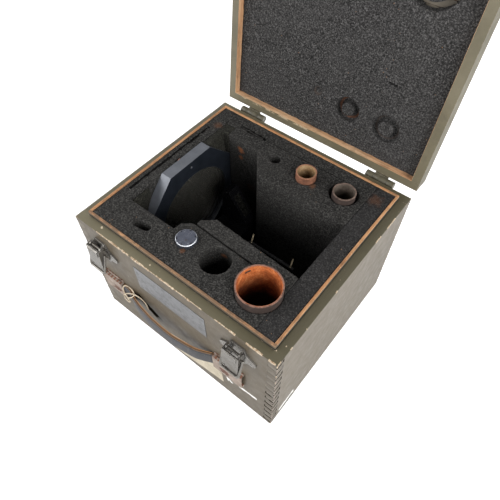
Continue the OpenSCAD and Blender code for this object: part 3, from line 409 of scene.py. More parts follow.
def paint(name, marks=False, upright_painted_light=UPRIGHT_SHEEN):
    """Old olive paint with dirt, small specks and rubbed edges, painted light on its upright faces (a paler
    sheen, on the front board a darker shade) and painted shade in its corners.
    """
    m = Mat(name)
    p = m.pos()
    col, fine = olive_paint(m, p)
    # Upright faces get another colour as painted light: a paler sheen, or on the front board a darker shade
    col = m.mix(m.mul(m.facing_up(0.7, 0.3), 0.75), col, upright_painted_light)
    tone = m.mix(m.span(m.xyz(p)[0], -0.02, 0.13), RIM_LIGHT, RIM_DARK)
    col = m.mix(m.mul(m.facing_up(0.7, 0.95), 0.7), col, tone)
    brush = m.noise(m.scaled(p, (1, 1, 0.08)), 500, 3, 0.5)
    specks = m.ramp(m.voro(p, 170), [(0.06, 1), (0.11, 0)])
    gate = m.ramp(m.noise(p, 30, 2), [(0.52, 0), (0.6, 1)])
    col = m.mix(m.mul(specks, gate, 0.6), col, (0.42, 0.35, 0.25))
    thin = m.mul(m.edge(0.0010), m.ramp(m.noise(p, 130, 5, 0.75), [(0.54, 0), (0.60, 1)]))
    col = m.mix(m.mul(thin, 0.85), col, m.mix(m.noise(p, 300), CREAM, BARE))
    h = m.sub(m.add(m.mul(brush, 0.5), m.mul(fine, 0.5)), m.mul(thin, 1.2))
    if marks:
        col, cut = case_marks(m, p, col)
        h = m.sub(h, m.mul(cut, 1.6))
    # Painted shade in the corners and slots
    col = m.mix(m.mul(m.crevice(0.004), 0.7), col, (0.02, 0.017, 0.012))
    # Dark marks are matt, or the sky in them would hide them
    shine = m.span(col, 0.012, 0.04, (0.0, 0.5))
    return m.surface(Base_Color=col, Roughness=paint_rough(m, p), Specular_IOR_Level=shine,
                     Normal=m.bump(h, 0.00025, 0.5))


def wood(m, p, along, dark=(0.22, 0.085, 0.028), mid=(0.46, 0.21, 0.085), light=(0.62, 0.36, 0.18)):
    """Bare sappy wood with its grain along one axis: colour and grain."""
    stretch = {"x": (0.06, 1, 1), "y": (1, 0.06, 1)}[along]
    grain = m.noise(m.scaled(p, stretch), 420, 5, 0.65)
    broad = m.noise(m.scaled(p, stretch), 90, 4, 0.6, 0.4)
    col = m.ramp(grain, [(0.3, dark), (0.5, mid), (0.7, light)])
    col = m.mix(0.45, col, m.ramp(broad, [(0.35, dark), (0.65, light)]))
    dirt_and_shade = m.ramp(m.noise(p, 60, 6, 0.7), [(0.5, 0), (0.72, 1)])
    return m.mix(m.mul(dirt_and_shade, 0.6), col, (0.07, 0.042, 0.022)), grain


def liner(name, along, front=False):
    """Lining board: rubbed orange wood on its top, weathered grey-olive on its sides, and a painted shadow
    line at its foot just above the rim.
    """
    m = Mat(name)
    p = m.pos()
    z = m.xyz(p)[2]
    top, grain = wood(m, p, along)
    grey = m.ramp(m.noise(p, 75, 5, 0.7), [(0.3, (0.055, 0.046, 0.030)), (0.52, (0.115, 0.098, 0.066)),
                                           (0.72, (0.24, 0.19, 0.13))])
    ragged = m.mul(m.sub(m.noise(p, 170, 4, 0.7), 0.5), 0.0022)
    up = m.above(m.add(z, ragged), LINER_TOP - 0.0013)
    col = m.mix(up, grey, top)
    if front:
        spots = m.ramp(m.noise(p, 85, 5, 0.75), [(0.36, 0.15), (0.50, 1)])
        col = m.mix(m.mul(spots, 0.75), col, (0.100, 0.070, 0.045))
    pale = m.mul(m.edge(0.0008), m.ramp(m.noise(p, 140, 5), [(0.46, 0), (0.56, 1)]))
    col = m.mix(m.mul(pale, 0.6), col, (0.58, 0.45, 0.31))
    # Painted shadow in the gap between the rim and the liner
    col = m.mix(m.span(z, RIM_Z + 0.0034, RIM_Z + 0.0020), col, (0.008, 0.007, 0.005))
    return m.surface(Base_Color=col, Roughness=0.72, Normal=m.bump(grain, 0.0003, 0.6))


# Foam
RUST, RUST_DULL = (0.26, 0.085, 0.025), (0.15, 0.06, 0.025)
# Rust stains: place, radius, tint and strength
RUST_SPOTS = [((-0.0758, 0.0835, 0.190), 0.007, RUST, 0.7),
              ((-0.0761, 0.0835, 0.177), 0.005, RUST, 0.55),
              ((-0.0569, 0.082, 0.128), 0.010, RUST_DULL, 0.4),
              ((0.0216, -0.0664, 0.190), 0.005, RUST, 0.5),
              ((-0.1215, 0.0885, FOAM_TOP), 0.008, RUST_DULL, 0.4),
              ((0.120, 0.103, FOAM_TOP), 0.012, RUST_DULL, 0.3),
              ((-0.012, -0.0995, FOAM_TOP), 0.0038, RUST_DULL, 0.5),
              ((0.0465, 0.0745, FOAM_TOP), 0.006, RUST_DULL, 0.55)]
# The share of its colour that the foam keeps deep in the cavity under painted shade, and the height where
# that is
DEEP, DEEP_Z = 0.12, 0.110


def foam_colour(m, p, base, contrast=1.0):
    """Open-cell foam: speckled grain with pits, pale specks painted as glints, and a few orange crumbs."""
    grain = m.noise(p, 560, 2, 0.75)
    cells = m.voro(p, 640)
    spread = [(0.37, 0.30), (0.5, 1.0), (0.6, 2.1), (0.68, 3.4)]
    col = m.ramp(grain, [(at, tuple(c * (1 + (k - 1) * contrast) for c in base)) for at, k in spread])
    pits = m.ramp(cells, [(0.12, 1), (0.42, 0)])
    col = m.mix(m.mul(pits, 0.55), col, tuple(c * 0.25 for c in base))
    cloud = m.ramp(m.noise(p, 16, 5, 0.6), [(0.35, 0), (0.7, 1)])
    col = m.mix(m.mul(cloud, 0.3), col, tuple(c * 1.6 for c in base))
    # Painted glints: small pale specks
    some = m.ramp(m.noise(p, 300, 1), [(0.55, 0), (0.62, 1)])
    glint = m.mul(m.ramp(m.voro(p, 400), [(0.1, 1), (0.17, 0)]), some)
    col = m.mix(m.mul(glint, 0.6), col, (0.19, 0.175, 0.155))
    few = m.ramp(m.noise(p, 60, 1), [(0.56, 0), (0.6, 1)])
    crumb = m.mul(m.ramp(m.voro(p, 150), [(0.06, 1), (0.09, 0)]), few)
    col = m.mix(m.mul(crumb, 0.7), col, (0.30, 0.17, 0.09))
    return col, m.add(m.mul(cells, 0.8), m.mul(grain, 0.9))


def foam(name, base=(0.026, 0.025, 0.0235), contrast=1.0, seams=()):
    """Foam of the case: painted shade darkens it down the cavity, and it carries the rust spots and seams.
    """
    m = Mat(name)
    p = m.pos()
    col, height = foam_colour(m, p, base, contrast)
    for place, r, tint, amount in RUST_SPOTS:
        d = m.add(m.away(p, place), m.mul(m.sub(m.noise(p, 130, 4), 0.5), r * 1.6))
        col = m.mix(m.mul(m.span(d, r, r * 0.3), amount), col, tint)
    for a, b, w, tint, fray in seams:
        col = streak(m, p, col, a, b, w, "z", FOAM_TOP, tint, fray)
    # Painted shade: the foam darkens towards the bottom of the cavity
    light = m.span(m.xyz(p)[2], DEEP_Z, FOAM_TOP - 0.004, (DEEP, 1.0))
    col = m.mix(light, (0.0005, 0.0005, 0.0005), col)
    shine = m.span(col, 0.0015, 0.004, (0.0, 0.2))
    return m.surface(Base_Color=col, Roughness=0.95, Specular_IOR_Level=shine,
                     Normal=m.bump(height, 0.0007, 0.85))


# Rings pressed into the lid foam: centre in the closed case, radius, half width, tint and strength
LID_RINGS = [(SMALL_AT, 0.0135, 0.0021, (0.115, 0.05, 0.028), 0.8),
             (MIDDLE_AT, 0.0150, 0.0018, (0.06, 0.045, 0.038), 0.55),
             (LARGE_AT, 0.0262, 0.0026, (0.115, 0.05, 0.028), 0.6),
             ((-0.0139, 0.0750), 0.0048, 0.0016, (0.07, 0.05, 0.04), 0.4)]


def closed_lid(m):
    """Place on the lid as if it were shut, for marks given in the closed case."""
    return m.n("VectorRotate", {"Vector": m.pos(), "Center": HINGE_AXIS, "Axis": (1, 0, 0),
                                "Angle": LID_TURN}, rotation_type="AXIS_ANGLE")


def lid_foam_material():
    """Foam with rusty rings pressed in by the tube rims."""
    m = Mat("foam_lid")
    p = m.pos()
    col, height = foam_colour(m, p, (0.0305, 0.0295, 0.0290), 1.15)
    x, y, z = m.xyz(closed_lid(m))
    for (cx, cy), r, w, tint, amount in LID_RINGS:
        d = m.hypot(m.sub(x, cx), m.sub(y, cy))
        off = m.add(m.gap(d, r), m.mul(m.sub(m.noise(p, 160, 4), 0.5), w))
        col = m.mix(m.mul(m.span(off, w, w * 0.3), amount), col, tint)
    return m.surface(Base_Color=col, Roughness=0.95, Specular_IOR_Level=0.2,
                     Normal=m.bump(height, 0.0007, 0.85))


# Half the clear width and depth between the lid's rails
LID_CLEAR_X, LID_CLEAR_Y = 0.1418, 0.1293


def lid_rail(name, along):
    """Painted lid rail whose inner face is bare wood, with chips along the edge between."""
    m = Mat(name)
    p = closed_lid(m)
    x, y, z = m.xyz(p)
    ax, ay = m.math("ABSOLUTE", x), m.math("ABSOLUTE", y)
    inner = m.mul(m.below(ax, LID_CLEAR_X), m.below(ay, LID_CLEAR_Y))
    col, fine = olive_paint(m, p)
    rag = m.noise(p, 120, 5, 0.75)
    thin = m.mul(m.edge(0.0010), m.ramp(rag, [(0.50, 0), (0.56, 1)]))
    # The inner edge of the hinge-side rail is rubbed most on its left half
    near = m.span(m.gap(ay, LID_CLEAR_Y + 0.0009), 0.0026, 0.0010)
    left = m.ramp(m.span(x, -0.15, 0.15), [(0.0, 0.5), (0.42, 0.7), (0.55, 0.12), (1.0, 0.2)])
    rubbed = m.mul(near, m.above(m.add(left, m.mul(m.sub(rag, 0.5), 2.2)), 0.62))
    worn = m.math("MAXIMUM", thin, rubbed)
    col = m.mix(m.mul(worn, 0.85), col, m.mix(m.noise(p, 300), (0.55, 0.47, 0.34), BARE))
    bare, grain = wood(m, p, along, (0.30, 0.135, 0.055), (0.56, 0.31, 0.16), (0.74, 0.50, 0.30))
    col = m.mix(inner, col, bare)
    r = m.mix(inner, paint_rough(m, p), (0.75, 0.75, 0.75))
    h = m.add(m.mul(grain, 0.5), m.mul(fine, 0.5))
    return m.surface(Base_Color=col, Roughness=r, Normal=m.bump(h, 0.00025, 0.5))


# Metals, glass and cloth
def worn_metal(name, base, rough, stain=(0.1, 0.06, 0.035), stained=0.45, metallic=1.0, edge=None,
               edge_amount=0.7, painted_shade=0.75, reach=0.003, cloud=0.6, dents=0.00025, patches=1.0):
    """Used metal or painted metal: stains, rubbed edges and painted shade in its corners."""
    m = Mat(name)
    p = m.pos()
    a = m.noise(p, 160 * patches, 5, 0.65)
    b = m.noise(p, 900, 3, 0.6)
    s = m.ramp(m.noise(p, 90 * patches, 6, 0.75), [(0.48, 0), (0.66, 1)])
    col = m.mix(m.ramp(a, [(0.35, 0), (0.65, 1)]), tuple(c * cloud for c in base), base)
    col = m.mix(m.mul(s, stained), col, stain)
    if edge is not None:
        rubbed = m.mul(m.edge(0.0006), m.ramp(a, [(0.36, 0), (0.5, 1)]))
        col = m.mix(m.mul(rubbed, edge_amount), col, edge)
    # Painted shade: corners and slots are darkened
    dirt_and_shade = m.mul(m.crevice(reach), painted_shade)
    col = m.mix(dirt_and_shade, col, (0.016, 0.012, 0.009))
    smooth, dull = max(rough - 0.12, 0.05), min(rough + 0.25, 1)
    r = m.ramp(m.add(m.mul(a, 0.6), m.mul(s, 0.4)), [(0.25, smooth), (0.8, dull)])
    metal = m.mul(m.sub(1.0, m.mul(s, stained)), m.sub(1.0, dirt_and_shade), metallic)
    return m.surface(Base_Color=col, Metallic=metal, Roughness=r,
                     Normal=m.bump(m.add(a, m.mul(b, 0.5)), dents, 0.5))


# Rust by the slots of the two strap plates: where in x, and the y and z of both; width to height
PLATE_RUST_X, PLATE_RUST_YZ, PLATE_RUST_FLAT = (-0.1070, 0.0825), (-0.1445, 0.0855), 0.6


def end_plate():
    """Cream strap plate: rust on its upper face in short stripes, and by the slot."""
    m = Mat("plate_cream")
    p = m.pos()
    x, y, z = m.xyz(p)
    a = m.noise(p, 130, 5, 0.65)
    col = m.ramp(a, [(0.3, (0.17, 0.125, 0.10)), (0.55, (0.265, 0.21, 0.172)), (0.75, (0.42, 0.345, 0.29))])
    rusty = m.ramp(m.noise(p, 260, 4, 0.7), [(0.35, (0.10, 0.035, 0.018)), (0.65, (0.24, 0.095, 0.05))])
    teeth = m.span(m.math("SINE", m.mul(x, 2 * math.pi / 0.0056)), -0.4, 0.5)
    up = m.mul(m.facing_up(0.45, 0.8), m.span(m.add(teeth, a), 0.62, 0.9))
    col = m.mix(m.mul(up, 0.9), col, rusty)
    deep_rust = m.mix(0.6, rusty, (0.05, 0.012, 0.006))
    flat = m.scaled(p, (PLATE_RUST_FLAT, 1, 1))
    for cx in PLATE_RUST_X:
        d = m.away(flat, (cx * PLATE_RUST_FLAT, *PLATE_RUST_YZ))
        ragged = m.add(d, m.mul(m.sub(a, 0.5), 0.003))
        col = m.mix(m.mul(m.span(ragged, 0.0052, 0.0040), 0.95), col, deep_rust)
    col = m.mix(m.mul(m.edge(0.0005), m.ramp(a, [(0.5, 0), (0.58, 1)]), 0.45), col, (0.13, 0.065, 0.035))
    # Painted shade in the corners and by the slot
    col = m.mix(m.mul(m.crevice(0.002), 0.8), col, (0.03, 0.018, 0.012))
    return m.surface(Base_Color=col, Roughness=0.7, Normal=m.bump(a, 0.0003, 0.5))


def tube_material(name, inside, outside, rim, centre, radius, wall, rim_z, rough, metal, dark):
    """Rust outside, another finish inside that is darkened with depth as painted shade, a worn rim, and
    painted shade in its corners.
    """
    m = Mat(name)
    p = m.pos()
    x, y, z = m.xyz(p)
    d = m.hypot(m.sub(x, centre[0]), m.sub(y, centre[1]))
    within = m.below(d, radius - wall * 0.75)
    a = m.noise(p, 95, 6, 0.78)
    b = m.noise(p, 520, 4, 0.75)
    grain = m.ramp(b, [(0.45, 0), (0.68, 1)])
    ci = m.ramp(a, [(0.3, inside[0]), (0.52, inside[1]), (0.74, inside[2])])
    ci = m.mix(m.mul(grain, 0.55), ci, inside[0])
    depth = m.add(z, m.mul(m.sub(a, 0.5), 0.02))
    # Painted shade: the inside darkens with depth
    light = m.span(depth, rim_z - 2.3 * radius, rim_z - 0.35 * radius, (dark, 1.0))
    ci = m.mix(light, (0.004, 0.003, 0.002), ci)
    co = m.ramp(a, [(0.3, outside[0]), (0.52, outside[1]), (0.74, outside[2])])
    co = m.mix(m.mul(grain, 0.4), co, outside[0])
    col = m.mix(within, co, ci)
    worn = m.ramp(m.noise(p, 220, 4), [(0.36, 0.2), (0.55, 1)])
    top = m.mul(m.span(z, rim_z - 0.0009, rim_z - 0.0002), worn)
    col = m.mix(m.mul(top, 0.75), col, rim)
    # Painted shade in the corners
    col = m.mix(m.mul(m.crevice(0.004, 0.2, 0.6), 0.7), col, (0.008, 0.006, 0.004))
    r = m.mix(within, (0.8, 0.8, 0.8), (rough, rough, rough))
    return m.surface(Base_Color=col, Metallic=m.mul(within, metal), Roughness=r,
                     Normal=m.bump(m.add(b, m.mul(a, 0.6)), 0.0004, 0.6))


def anodised():
    """Black anodised plate with a paler sheen on the faces that look up."""
    m = Mat("black_anodised")
    p = m.pos()
    a = m.noise(m.scaled(p, (1, 0.12, 1)), 700, 4, 0.6)
    b = m.noise(p, 60, 5, 0.6)
    col = m.ramp(b, [(0.35, (0.010, 0.013, 0.018)), (0.7, (0.018, 0.022, 0.030))])
    sheen = m.ramp(b, [(0.35, (0.105, 0.113, 0.130)), (0.7, (0.145, 0.155, 0.178))])
    col = m.mix(m.facing_up(0.35, 0.6), col, sheen)
    rubbed = m.mul(m.edge(0.0006), m.ramp(m.noise(p, 150, 4), [(0.4, 0.2), (0.6, 1)]))
    col = m.mix(m.mul(rubbed, 0.55), col, (0.26, 0.28, 0.32))
    r = m.ramp(a, [(0.3, 0.34), (0.7, 0.48)])
    return m.surface(Base_Color=col, Metallic=0.25, Roughness=r, Normal=m.bump(a, 0.00008, 0.35))


def gloss_black():
    """Black lacquer with faintly rubbed edges."""
    m = Mat("gloss_black")
    p = m.pos()
    a = m.noise(p, 300, 4, 0.6)
    rubbed = m.mul(m.edge(0.0005), m.ramp(a, [(0.45, 0), (0.6, 1)]), 0.5)
    col = m.mix(rubbed, (0.0025, 0.0025, 0.003), (0.09, 0.09, 0.09))
    r = m.ramp(a, [(0.3, 0.2), (0.7, 0.36)])
    return m.surface(Base_Color=col, Roughness=r, Specular_IOR_Level=0.16, Normal=m.bump(a, 0.00006, 0.3))


def clear_glass(name, tint=(0.93, 0.96, 0.95), dust=0.0):
    """Thin clear glass, with a little speckled dust on it if asked."""
    m = Mat(name)
    p = m.pos()
    clear = m.n("BsdfTransparent", {"Color": tint})
    smear = m.ramp(m.noise(p, 40, 3), [(0.3, 0.03), (0.7, 0.09)])
    gloss = m.n("BsdfGlossy", {"Color": (1, 1, 1), "Roughness": smear})
    body = m.n("MixShader", {0: m.mul(m.n("Fresnel", {"IOR": 1.45}), 0.4), 1: clear, 2: gloss})
    if dust:
        specks = m.ramp(m.noise(p, 620, 2, 0.8), [(0.48, 0.05), (0.64, 1.0)])
        tone = m.ramp(m.noise(p, 700, 2), [(0.42, (0.02, 0.02, 0.018)), (0.6, (0.42, 0.40, 0.34))])
        soft = m.n("BsdfDiffuse", {"Color": tone})
        body = m.n("MixShader", {0: m.mul(specks, dust), 1: body, 2: soft})
    m.put(m.out.inputs["Surface"], body)
    return m.m


# Knob: radii where its rim and its notches start, the top of its skirt and the stain on its face
KNOB_RIM_R, KNOB_NOTCH_R, KNOB_SKIRT_Z = 0.0119, 0.0098, 0.2101
KNOB_STAIN = (-0.0162, -0.0885, 0.2115)


def knob_material():
    """Scratched blue-grey face with a thin bright rim, on a dark skirt."""
    m = Mat("knob_face")
    p = m.pos()
    x, y, z = m.xyz(p)
    dx, dy = m.sub(x, KNOB_AT[0]), m.sub(y, KNOB_AT[1])
    d = m.hypot(dx, dy)
    a = m.noise(p, 260, 5, 0.65)
    scratch = m.noise(m.scaled(p, (1, 0.25, 1)), 900, 4, 0.7)
    face = m.ramp(a, [(0.3, (0.062, 0.068, 0.094)), (0.7, (0.115, 0.124, 0.158))])
    face = m.mix(m.mul(m.ramp(scratch, [(0.58, 0), (0.66, 1)]), 0.6), face, (0.36, 0.38, 0.42))
    stain = m.add(m.away(p, KNOB_STAIN), m.mul(a, 0.003))
    face = m.mix(m.mul(m.span(stain, 0.0034, 0.0022), 0.5), face, (0.07, 0.05, 0.035))
    rim = m.mix(m.ramp(m.noise(p, 240, 4), [(0.38, 0), (0.46, 1)]), (0.12, 0.13, 0.15), (0.70, 0.72, 0.76))
    ragged = m.add(d, m.mul(m.sub(m.noise(p, 420, 3), 0.5), 0.0009))
    col = m.mix(m.above(ragged, KNOB_RIM_R), face, rim)
    # Six small dark notches stand just inside the rim
    turn = m.math("ARCTAN2", dy, dx)
    lobe = m.math("COSINE", m.mul(m.add(turn, 0.26), 6.0))
    notch = m.mul(m.above(lobe, 0.80), m.above(d, KNOB_NOTCH_R), m.below(d, KNOB_RIM_R))
    col = m.mix(m.mul(notch, 0.85), col, (0.012, 0.013, 0.018))
    col = m.mix(m.below(z, KNOB_SKIRT_Z), col, m.mix(a, (0.008, 0.011, 0.022), (0.07, 0.075, 0.09)))
    return m.surface(Base_Color=col, Metallic=0.4, Roughness=0.42, Normal=m.bump(scratch, 0.00015, 0.5))


def torn_paper():
    """Stained cream paper."""
    m = Mat("patch_cream")
    p = m.pos()
    col = m.ramp(m.noise(p, 60, 6, 0.7), [(0.3, (0.36, 0.31, 0.23)), (0.6, (0.55, 0.49, 0.38)),
                                          (0.8, (0.64, 0.58, 0.47))])
    stain = m.ramp(m.noise(p, 22, 5, 0.7), [(0.55, 0), (0.72, 1)])
    col = m.mix(m.mul(stain, 0.5), col, (0.2, 0.15, 0.09))
    return m.surface(Base_Color=col, Roughness=0.75, Normal=m.bump(m.noise(p, 600, 4), 0.0003, 0.5))


def string_cotton():
    """Grubby cotton."""
    m = Mat("string_cotton")
    p = m.pos()
    a = m.noise(p, 1400, 3, 0.7)
    col = m.ramp(a, [(0.35, (0.30, 0.23, 0.15)), (0.5, (0.56, 0.47, 0.35)), (0.65, (0.72, 0.64, 0.50))])
    col = m.mix(m.mul(m.ramp(m.noise(p, 120, 4), [(0.5, 0), (0.66, 1)]), 0.5), col, (0.16, 0.10, 0.06))
    return m.surface(Base_Color=col, Roughness=0.9, Normal=m.bump(a, 0.0003, 0.7))


# Height of the middle of the strap, in millimetres
STRAP_Z = 88.5


def leather(name, base, dark, edge_col, half):
    """Cracked strap leather whose long edges are frayed."""
    m = Mat(name)
    p = m.pos()
    z = m.xyz(p)[2]
    grain = m.voro(p, 900)
    creases = m.noise(m.scaled(p, (1, 1, 0.15)), 240, 5, 0.7)
    col = m.ramp(m.noise(p, 90, 5, 0.65), [(0.3, dark), (0.7, base)])
    col = m.mix(m.mul(m.ramp(creases, [(0.56, 0), (0.64, 1)]), 0.35), col, (0.13, 0.12, 0.11))
    ragged = m.add(m.gap(z, STRAP_Z * MM), m.mul(m.sub(m.noise(p, 260, 5), 0.5), 0.0016))
    col = m.mix(m.mul(m.span(ragged, half - 0.0008, half - 0.0001), 0.85), col, edge_col)
    # Painted shade in the corners and folds
    col = m.mix(m.mul(m.crevice(0.003), 0.6), col, (0.01, 0.008, 0.006))
    height = m.add(m.mul(grain, 0.6), creases)
    return m.surface(Base_Color=col, Roughness=0.5, Normal=m.bump(height, 0.0004, 0.5))


def give(obj, material):
    obj.data.materials.clear()
    obj.data.materials.append(material)


def weld(obj, distance):
    """Joins the vertices of a mesh that lie closer than a distance."""
    obj.modifiers.new("weld", "WELD").merge_threshold = distance


def soft_copy(node, body, voxel, material, amp=0.0003, keep=0.35, smooth=2):
    """A foam piece from its CAD solid: cut edges are rounded, faces are not quite flat."""
    obj = new_object(node + "_cut", NODES[node].data.copy())
    weld(obj, 1e-5)
    remesh = obj.modifiers.new("remesh", "REMESH")
    remesh.mode, remesh.voxel_size, remesh.adaptivity = "VOXEL", voxel, 0
    relax = obj.modifiers.new("relax", "SMOOTH")
    relax.factor, relax.iterations = 0.5, smooth
    obj.data = evaluated(obj)
    count = len(obj.data.vertices)
    co, nm = np.empty(count * 3), np.empty(count * 3)
    obj.data.vertices.foreach_get("co", co)
    obj.data.vertices.foreach_get("normal", nm)
    x, y, z = co.reshape(-1, 3).T
    wave = np.sin(x * 260 + 3 * np.sin(y * 170)) * np.sin(y * 230 + 1.7 + 2 * np.sin(z * 190))
    wave += 0.6 * np.sin(z * 610 + x * 480) * np.sin(y * 560 + 0.7 + z * 350)
    co += nm * np.repeat(np.clip(wave, -1.2, 0.3), 3) * amp
    obj.data.vertices.foreach_set("co", co)
    thin = obj.modifiers.new("thin", "DECIMATE")
    thin.ratio = keep
    obj.data = evaluated(obj)
    obj.data.shade_smooth()
    give(obj, material)
    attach(obj, body)
    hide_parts(node)


def evaluated(obj):
    """The mesh with all modifiers applied; the modifiers are dropped."""
    graph = bpy.context.evaluated_depsgraph_get()
    mesh = bpy.data.meshes.new_from_object(obj.evaluated_get(graph))
    obj.modifiers.clear()
    return mesh


# Voxel sizes of the foam copies, and the height of the swell on the flatter ones
fine, coarse = ((0.00095, 0.0025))
FLAT = 0.0002
# Seams between the foam blocks, each with its ends on the top, half width, tint and how broken it is
CRACK, GLUE = (0.0015, 0.0014, 0.0012), (0.16, 0.085, 0.04)
back_seams = [((-0.0505, 0.1052), (0.0771, 0.1075), 0.0004, CRACK, 0.40),
              ((-0.0952, 0.1076), (-0.0505, 0.1060), 0.0021, CRACK, 0.15)]
left_seams = [((-0.1286, 0.0790), (-0.1294, -0.0710), 0.0019, CRACK, 0.10)]
front_seams = [((-0.0185, -0.0605), (0.0415, -0.0625), 0.0011, GLUE, 0.50)]
foam_plain = foam("foam_plain")
foam_strip = foam("foam_strip", (0.0235, 0.0225, 0.0222), 0.7)
soft_copy("foam_left", "case", fine, foam("foam_left_block", seams=left_seams))
soft_copy("foam_back", "case", fine, foam("foam_back_block", seams=back_seams), FLAT, smooth=1)
soft_copy("foam_front", "case", fine, foam("foam_front_block", seams=front_seams), FLAT, smooth=1)
soft_copy("foam_right", "case", fine, foam_strip, FLAT, smooth=1)
soft_copy("foam_divider", "case", fine, foam_plain)
soft_copy("foam_base", "case", coarse, foam_plain)
# The foam of the wedges has a darker base colour: painted shade
soft_copy("foam_wedges", "objective", 0.0009, foam("foam_wedge", (0.0175, 0.0170, 0.0135)), FLAT, keep=0.5)
soft_copy("lid_foam", "lid", fine, lid_foam_material())

# Strap: two layers swept along the bow of the part, in millimetres. Each point has a share of the bow
STRAP_BASE, STRAP_BOW = -140.2, 14.0
STRAP = [(-112, 0), (-85, 0), (-77, 0.21), (-69, 0.43), (-60, 0.6), (-50, 0.73), (-40, 0.84),
         (-30, 0.915), (-18, 0.97), (-5, 1), (8, 0.97), (20, 0.86), (30, 0.76), (40, 0.62), (48, 0.42),
         (54, 0.23), (59, 0.08), (63.5, 0), (98, 0)]
# The outer part of half the width over which the face falls to the edge
SOFT_EDGE = 0.14
strap_path = [Vector((p.x, p.y)) for p in
              rounded_path([(x, STRAP_BASE - STRAP_BOW * s, 0) for x, s in STRAP], 1.2)]


def strap_layer(name, inner, thick, half, material, node, crown=0.0, wobble=0.0, across=14):
    """One layer of the strap, with a crowned face, soft edges and an uneven width."""
    bm = bmesh.new()
    rings = []
    for i, c in enumerate(strap_path):
        a, b = strap_path[max(i - 1, 0)], strap_path[min(i + 1, len(strap_path) - 1)]
        t = (b - a).normalized()
        out = Vector((t.y, -t.x)) if t.x > 0 else Vector((-t.y, t.x))
        width = half + wobble * noise.noise(Vector((c.x * 0.08, 3.1 * thick, 0)))
        section = []
        for k in range(across + 1):
            u = -1 + 2 * k / across
            fall = max(0, abs(u) - (1 - SOFT_EDGE)) / SOFT_EDGE * thick
            section.append((u * width, inner + thick + crown * (1 - u * u) - 0.35 * fall))
        for k in range(across + 1):
            u = 1 - 2 * k / across
            fall = max(0, abs(u) - (1 - SOFT_EDGE)) / SOFT_EDGE * thick
            section.append((u * width, inner + 0.12 * fall))
        ring = []
        for h, off in section:
            q = c + out * (off + 0.06 * noise.noise(Vector((c.x * 0.35, h * 0.3, inner))))
            ring.append(bm.verts.new((q.x * MM, q.y * MM, (STRAP_Z + h) * MM)))
        rings.append(ring)
    n = len(rings[0])
    for r0, r1 in zip(rings, rings[1:]):
        for k in range(n):
            bm.faces.new((r0[k], r0[(k + 1) % n], r1[(k + 1) % n], r1[k]))
    bm.faces.new(rings[0])
    bm.faces.new(rings[-1][::-1])
    bmesh.ops.recalc_face_normals(bm, faces=bm.faces)
    mesh = bpy.data.meshes.new(name)
    bm.to_mesh(mesh)
    bm.free()
    mesh.shade_smooth()
    obj = new_object(name, mesh)
    give(obj, material)
    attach(obj, "case")
    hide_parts(node)


strap_layer("strap_outer", 1.4, 2.4, 13.4,
            leather("strap_dark", (0.036, 0.037, 0.043), (0.018, 0.018, 0.021), (0.19, 0.11, 0.055), 0.0134),
            "strap_leather", crown=0.25, wobble=0.15)
strap_layer("strap_inner", 0.05, 1.35, 13.8,
            leather("strap_tan", (0.42, 0.215, 0.09), (0.15, 0.075, 0.03), (0.40, 0.20, 0.085), 0.0138),
            "strap_lining", wobble=0.5)
give(string, string_cotton())

# Looks of the pieces that keep their CAD shape
# The front board's upright faces are darker, as painted shade
boards = {"front": paint("olive_front", True, upright_painted_light=(0.084, 0.064, 0.043)),
          "right": paint("olive_side", True), "other": paint("olive_board")}
rails = {"x": lid_rail("lid_rail_x", "x"), "y": lid_rail("lid_rail_y", "y")}
nickel = worn_metal("latch_nickel", (0.25, 0.236, 0.214), 0.34, stain=(0.11, 0.085, 0.065), stained=0.4,
                    edge=(0.90, 0.88, 0.84), edge_amount=0.75, painted_shade=0.95, reach=0.005, cloud=0.8,
                    dents=0.00004, patches=0.35)
pin_metal = worn_metal("pin_metal", (0.36, 0.34, 0.30), 0.45)
hinge_paint = worn_metal("hinge_olive", (0.115, 0.104, 0.070), 0.48, stain=(0.05, 0.042, 0.026), stained=0.5,
                         metallic=0.0, edge=(0.42, 0.37, 0.28))
screw_metal = worn_metal("screw_metal", (0.28, 0.21, 0.15), 0.5, stain=(0.12, 0.05, 0.03), stained=0.6)
glass = clear_glass("lens_glass", (0.97, 0.98, 0.98), 0.22)
gloss = gloss_black()
anod = anodised()
cream_plate = end_plate()
ORANGE = [(0.17, 0.036, 0.008), (0.56, 0.15, 0.033), (0.80, 0.34, 0.12)]
BROWN = [(0.018, 0.011, 0.008), (0.038, 0.023, 0.018), (0.066, 0.044, 0.035)]
GOLD = [(0.36, 0.22, 0.11), (0.68, 0.46, 0.25), (0.88, 0.69, 0.45)]
GREY = [(0.09, 0.072, 0.058), (0.18, 0.145, 0.118), (0.30, 0.245, 0.20)]
RED = [(0.09, 0.034, 0.018), (0.20, 0.080, 0.042), (0.33, 0.15, 0.085)]
# Tubes: inside, outside, rim, centre, radius, wall, top, roughness and metal of the inside, light deep down
TUBES = {"small": (GOLD, RED, (0.42, 0.20, 0.12), SMALL_AT, 0.0132, 0.0016, 0.2165, 0.4, 0.5, 0.06),
         "middle": (GREY, BROWN, (0.24, 0.165, 0.13), MIDDLE_AT, 0.0147, 0.0018, 0.2145, 0.45, 0.4, 0.03),
         "large": (ORANGE, BROWN, (0.30, 0.15, 0.105), LARGE_AT, 0.0266, 0.002, 0.2185, 0.85, 0.0, 0.02)}
tube_looks = {tube_material(f"tube_{size}_finish", *values): (f"tube_{size}",)
              for size, values in TUBES.items()}
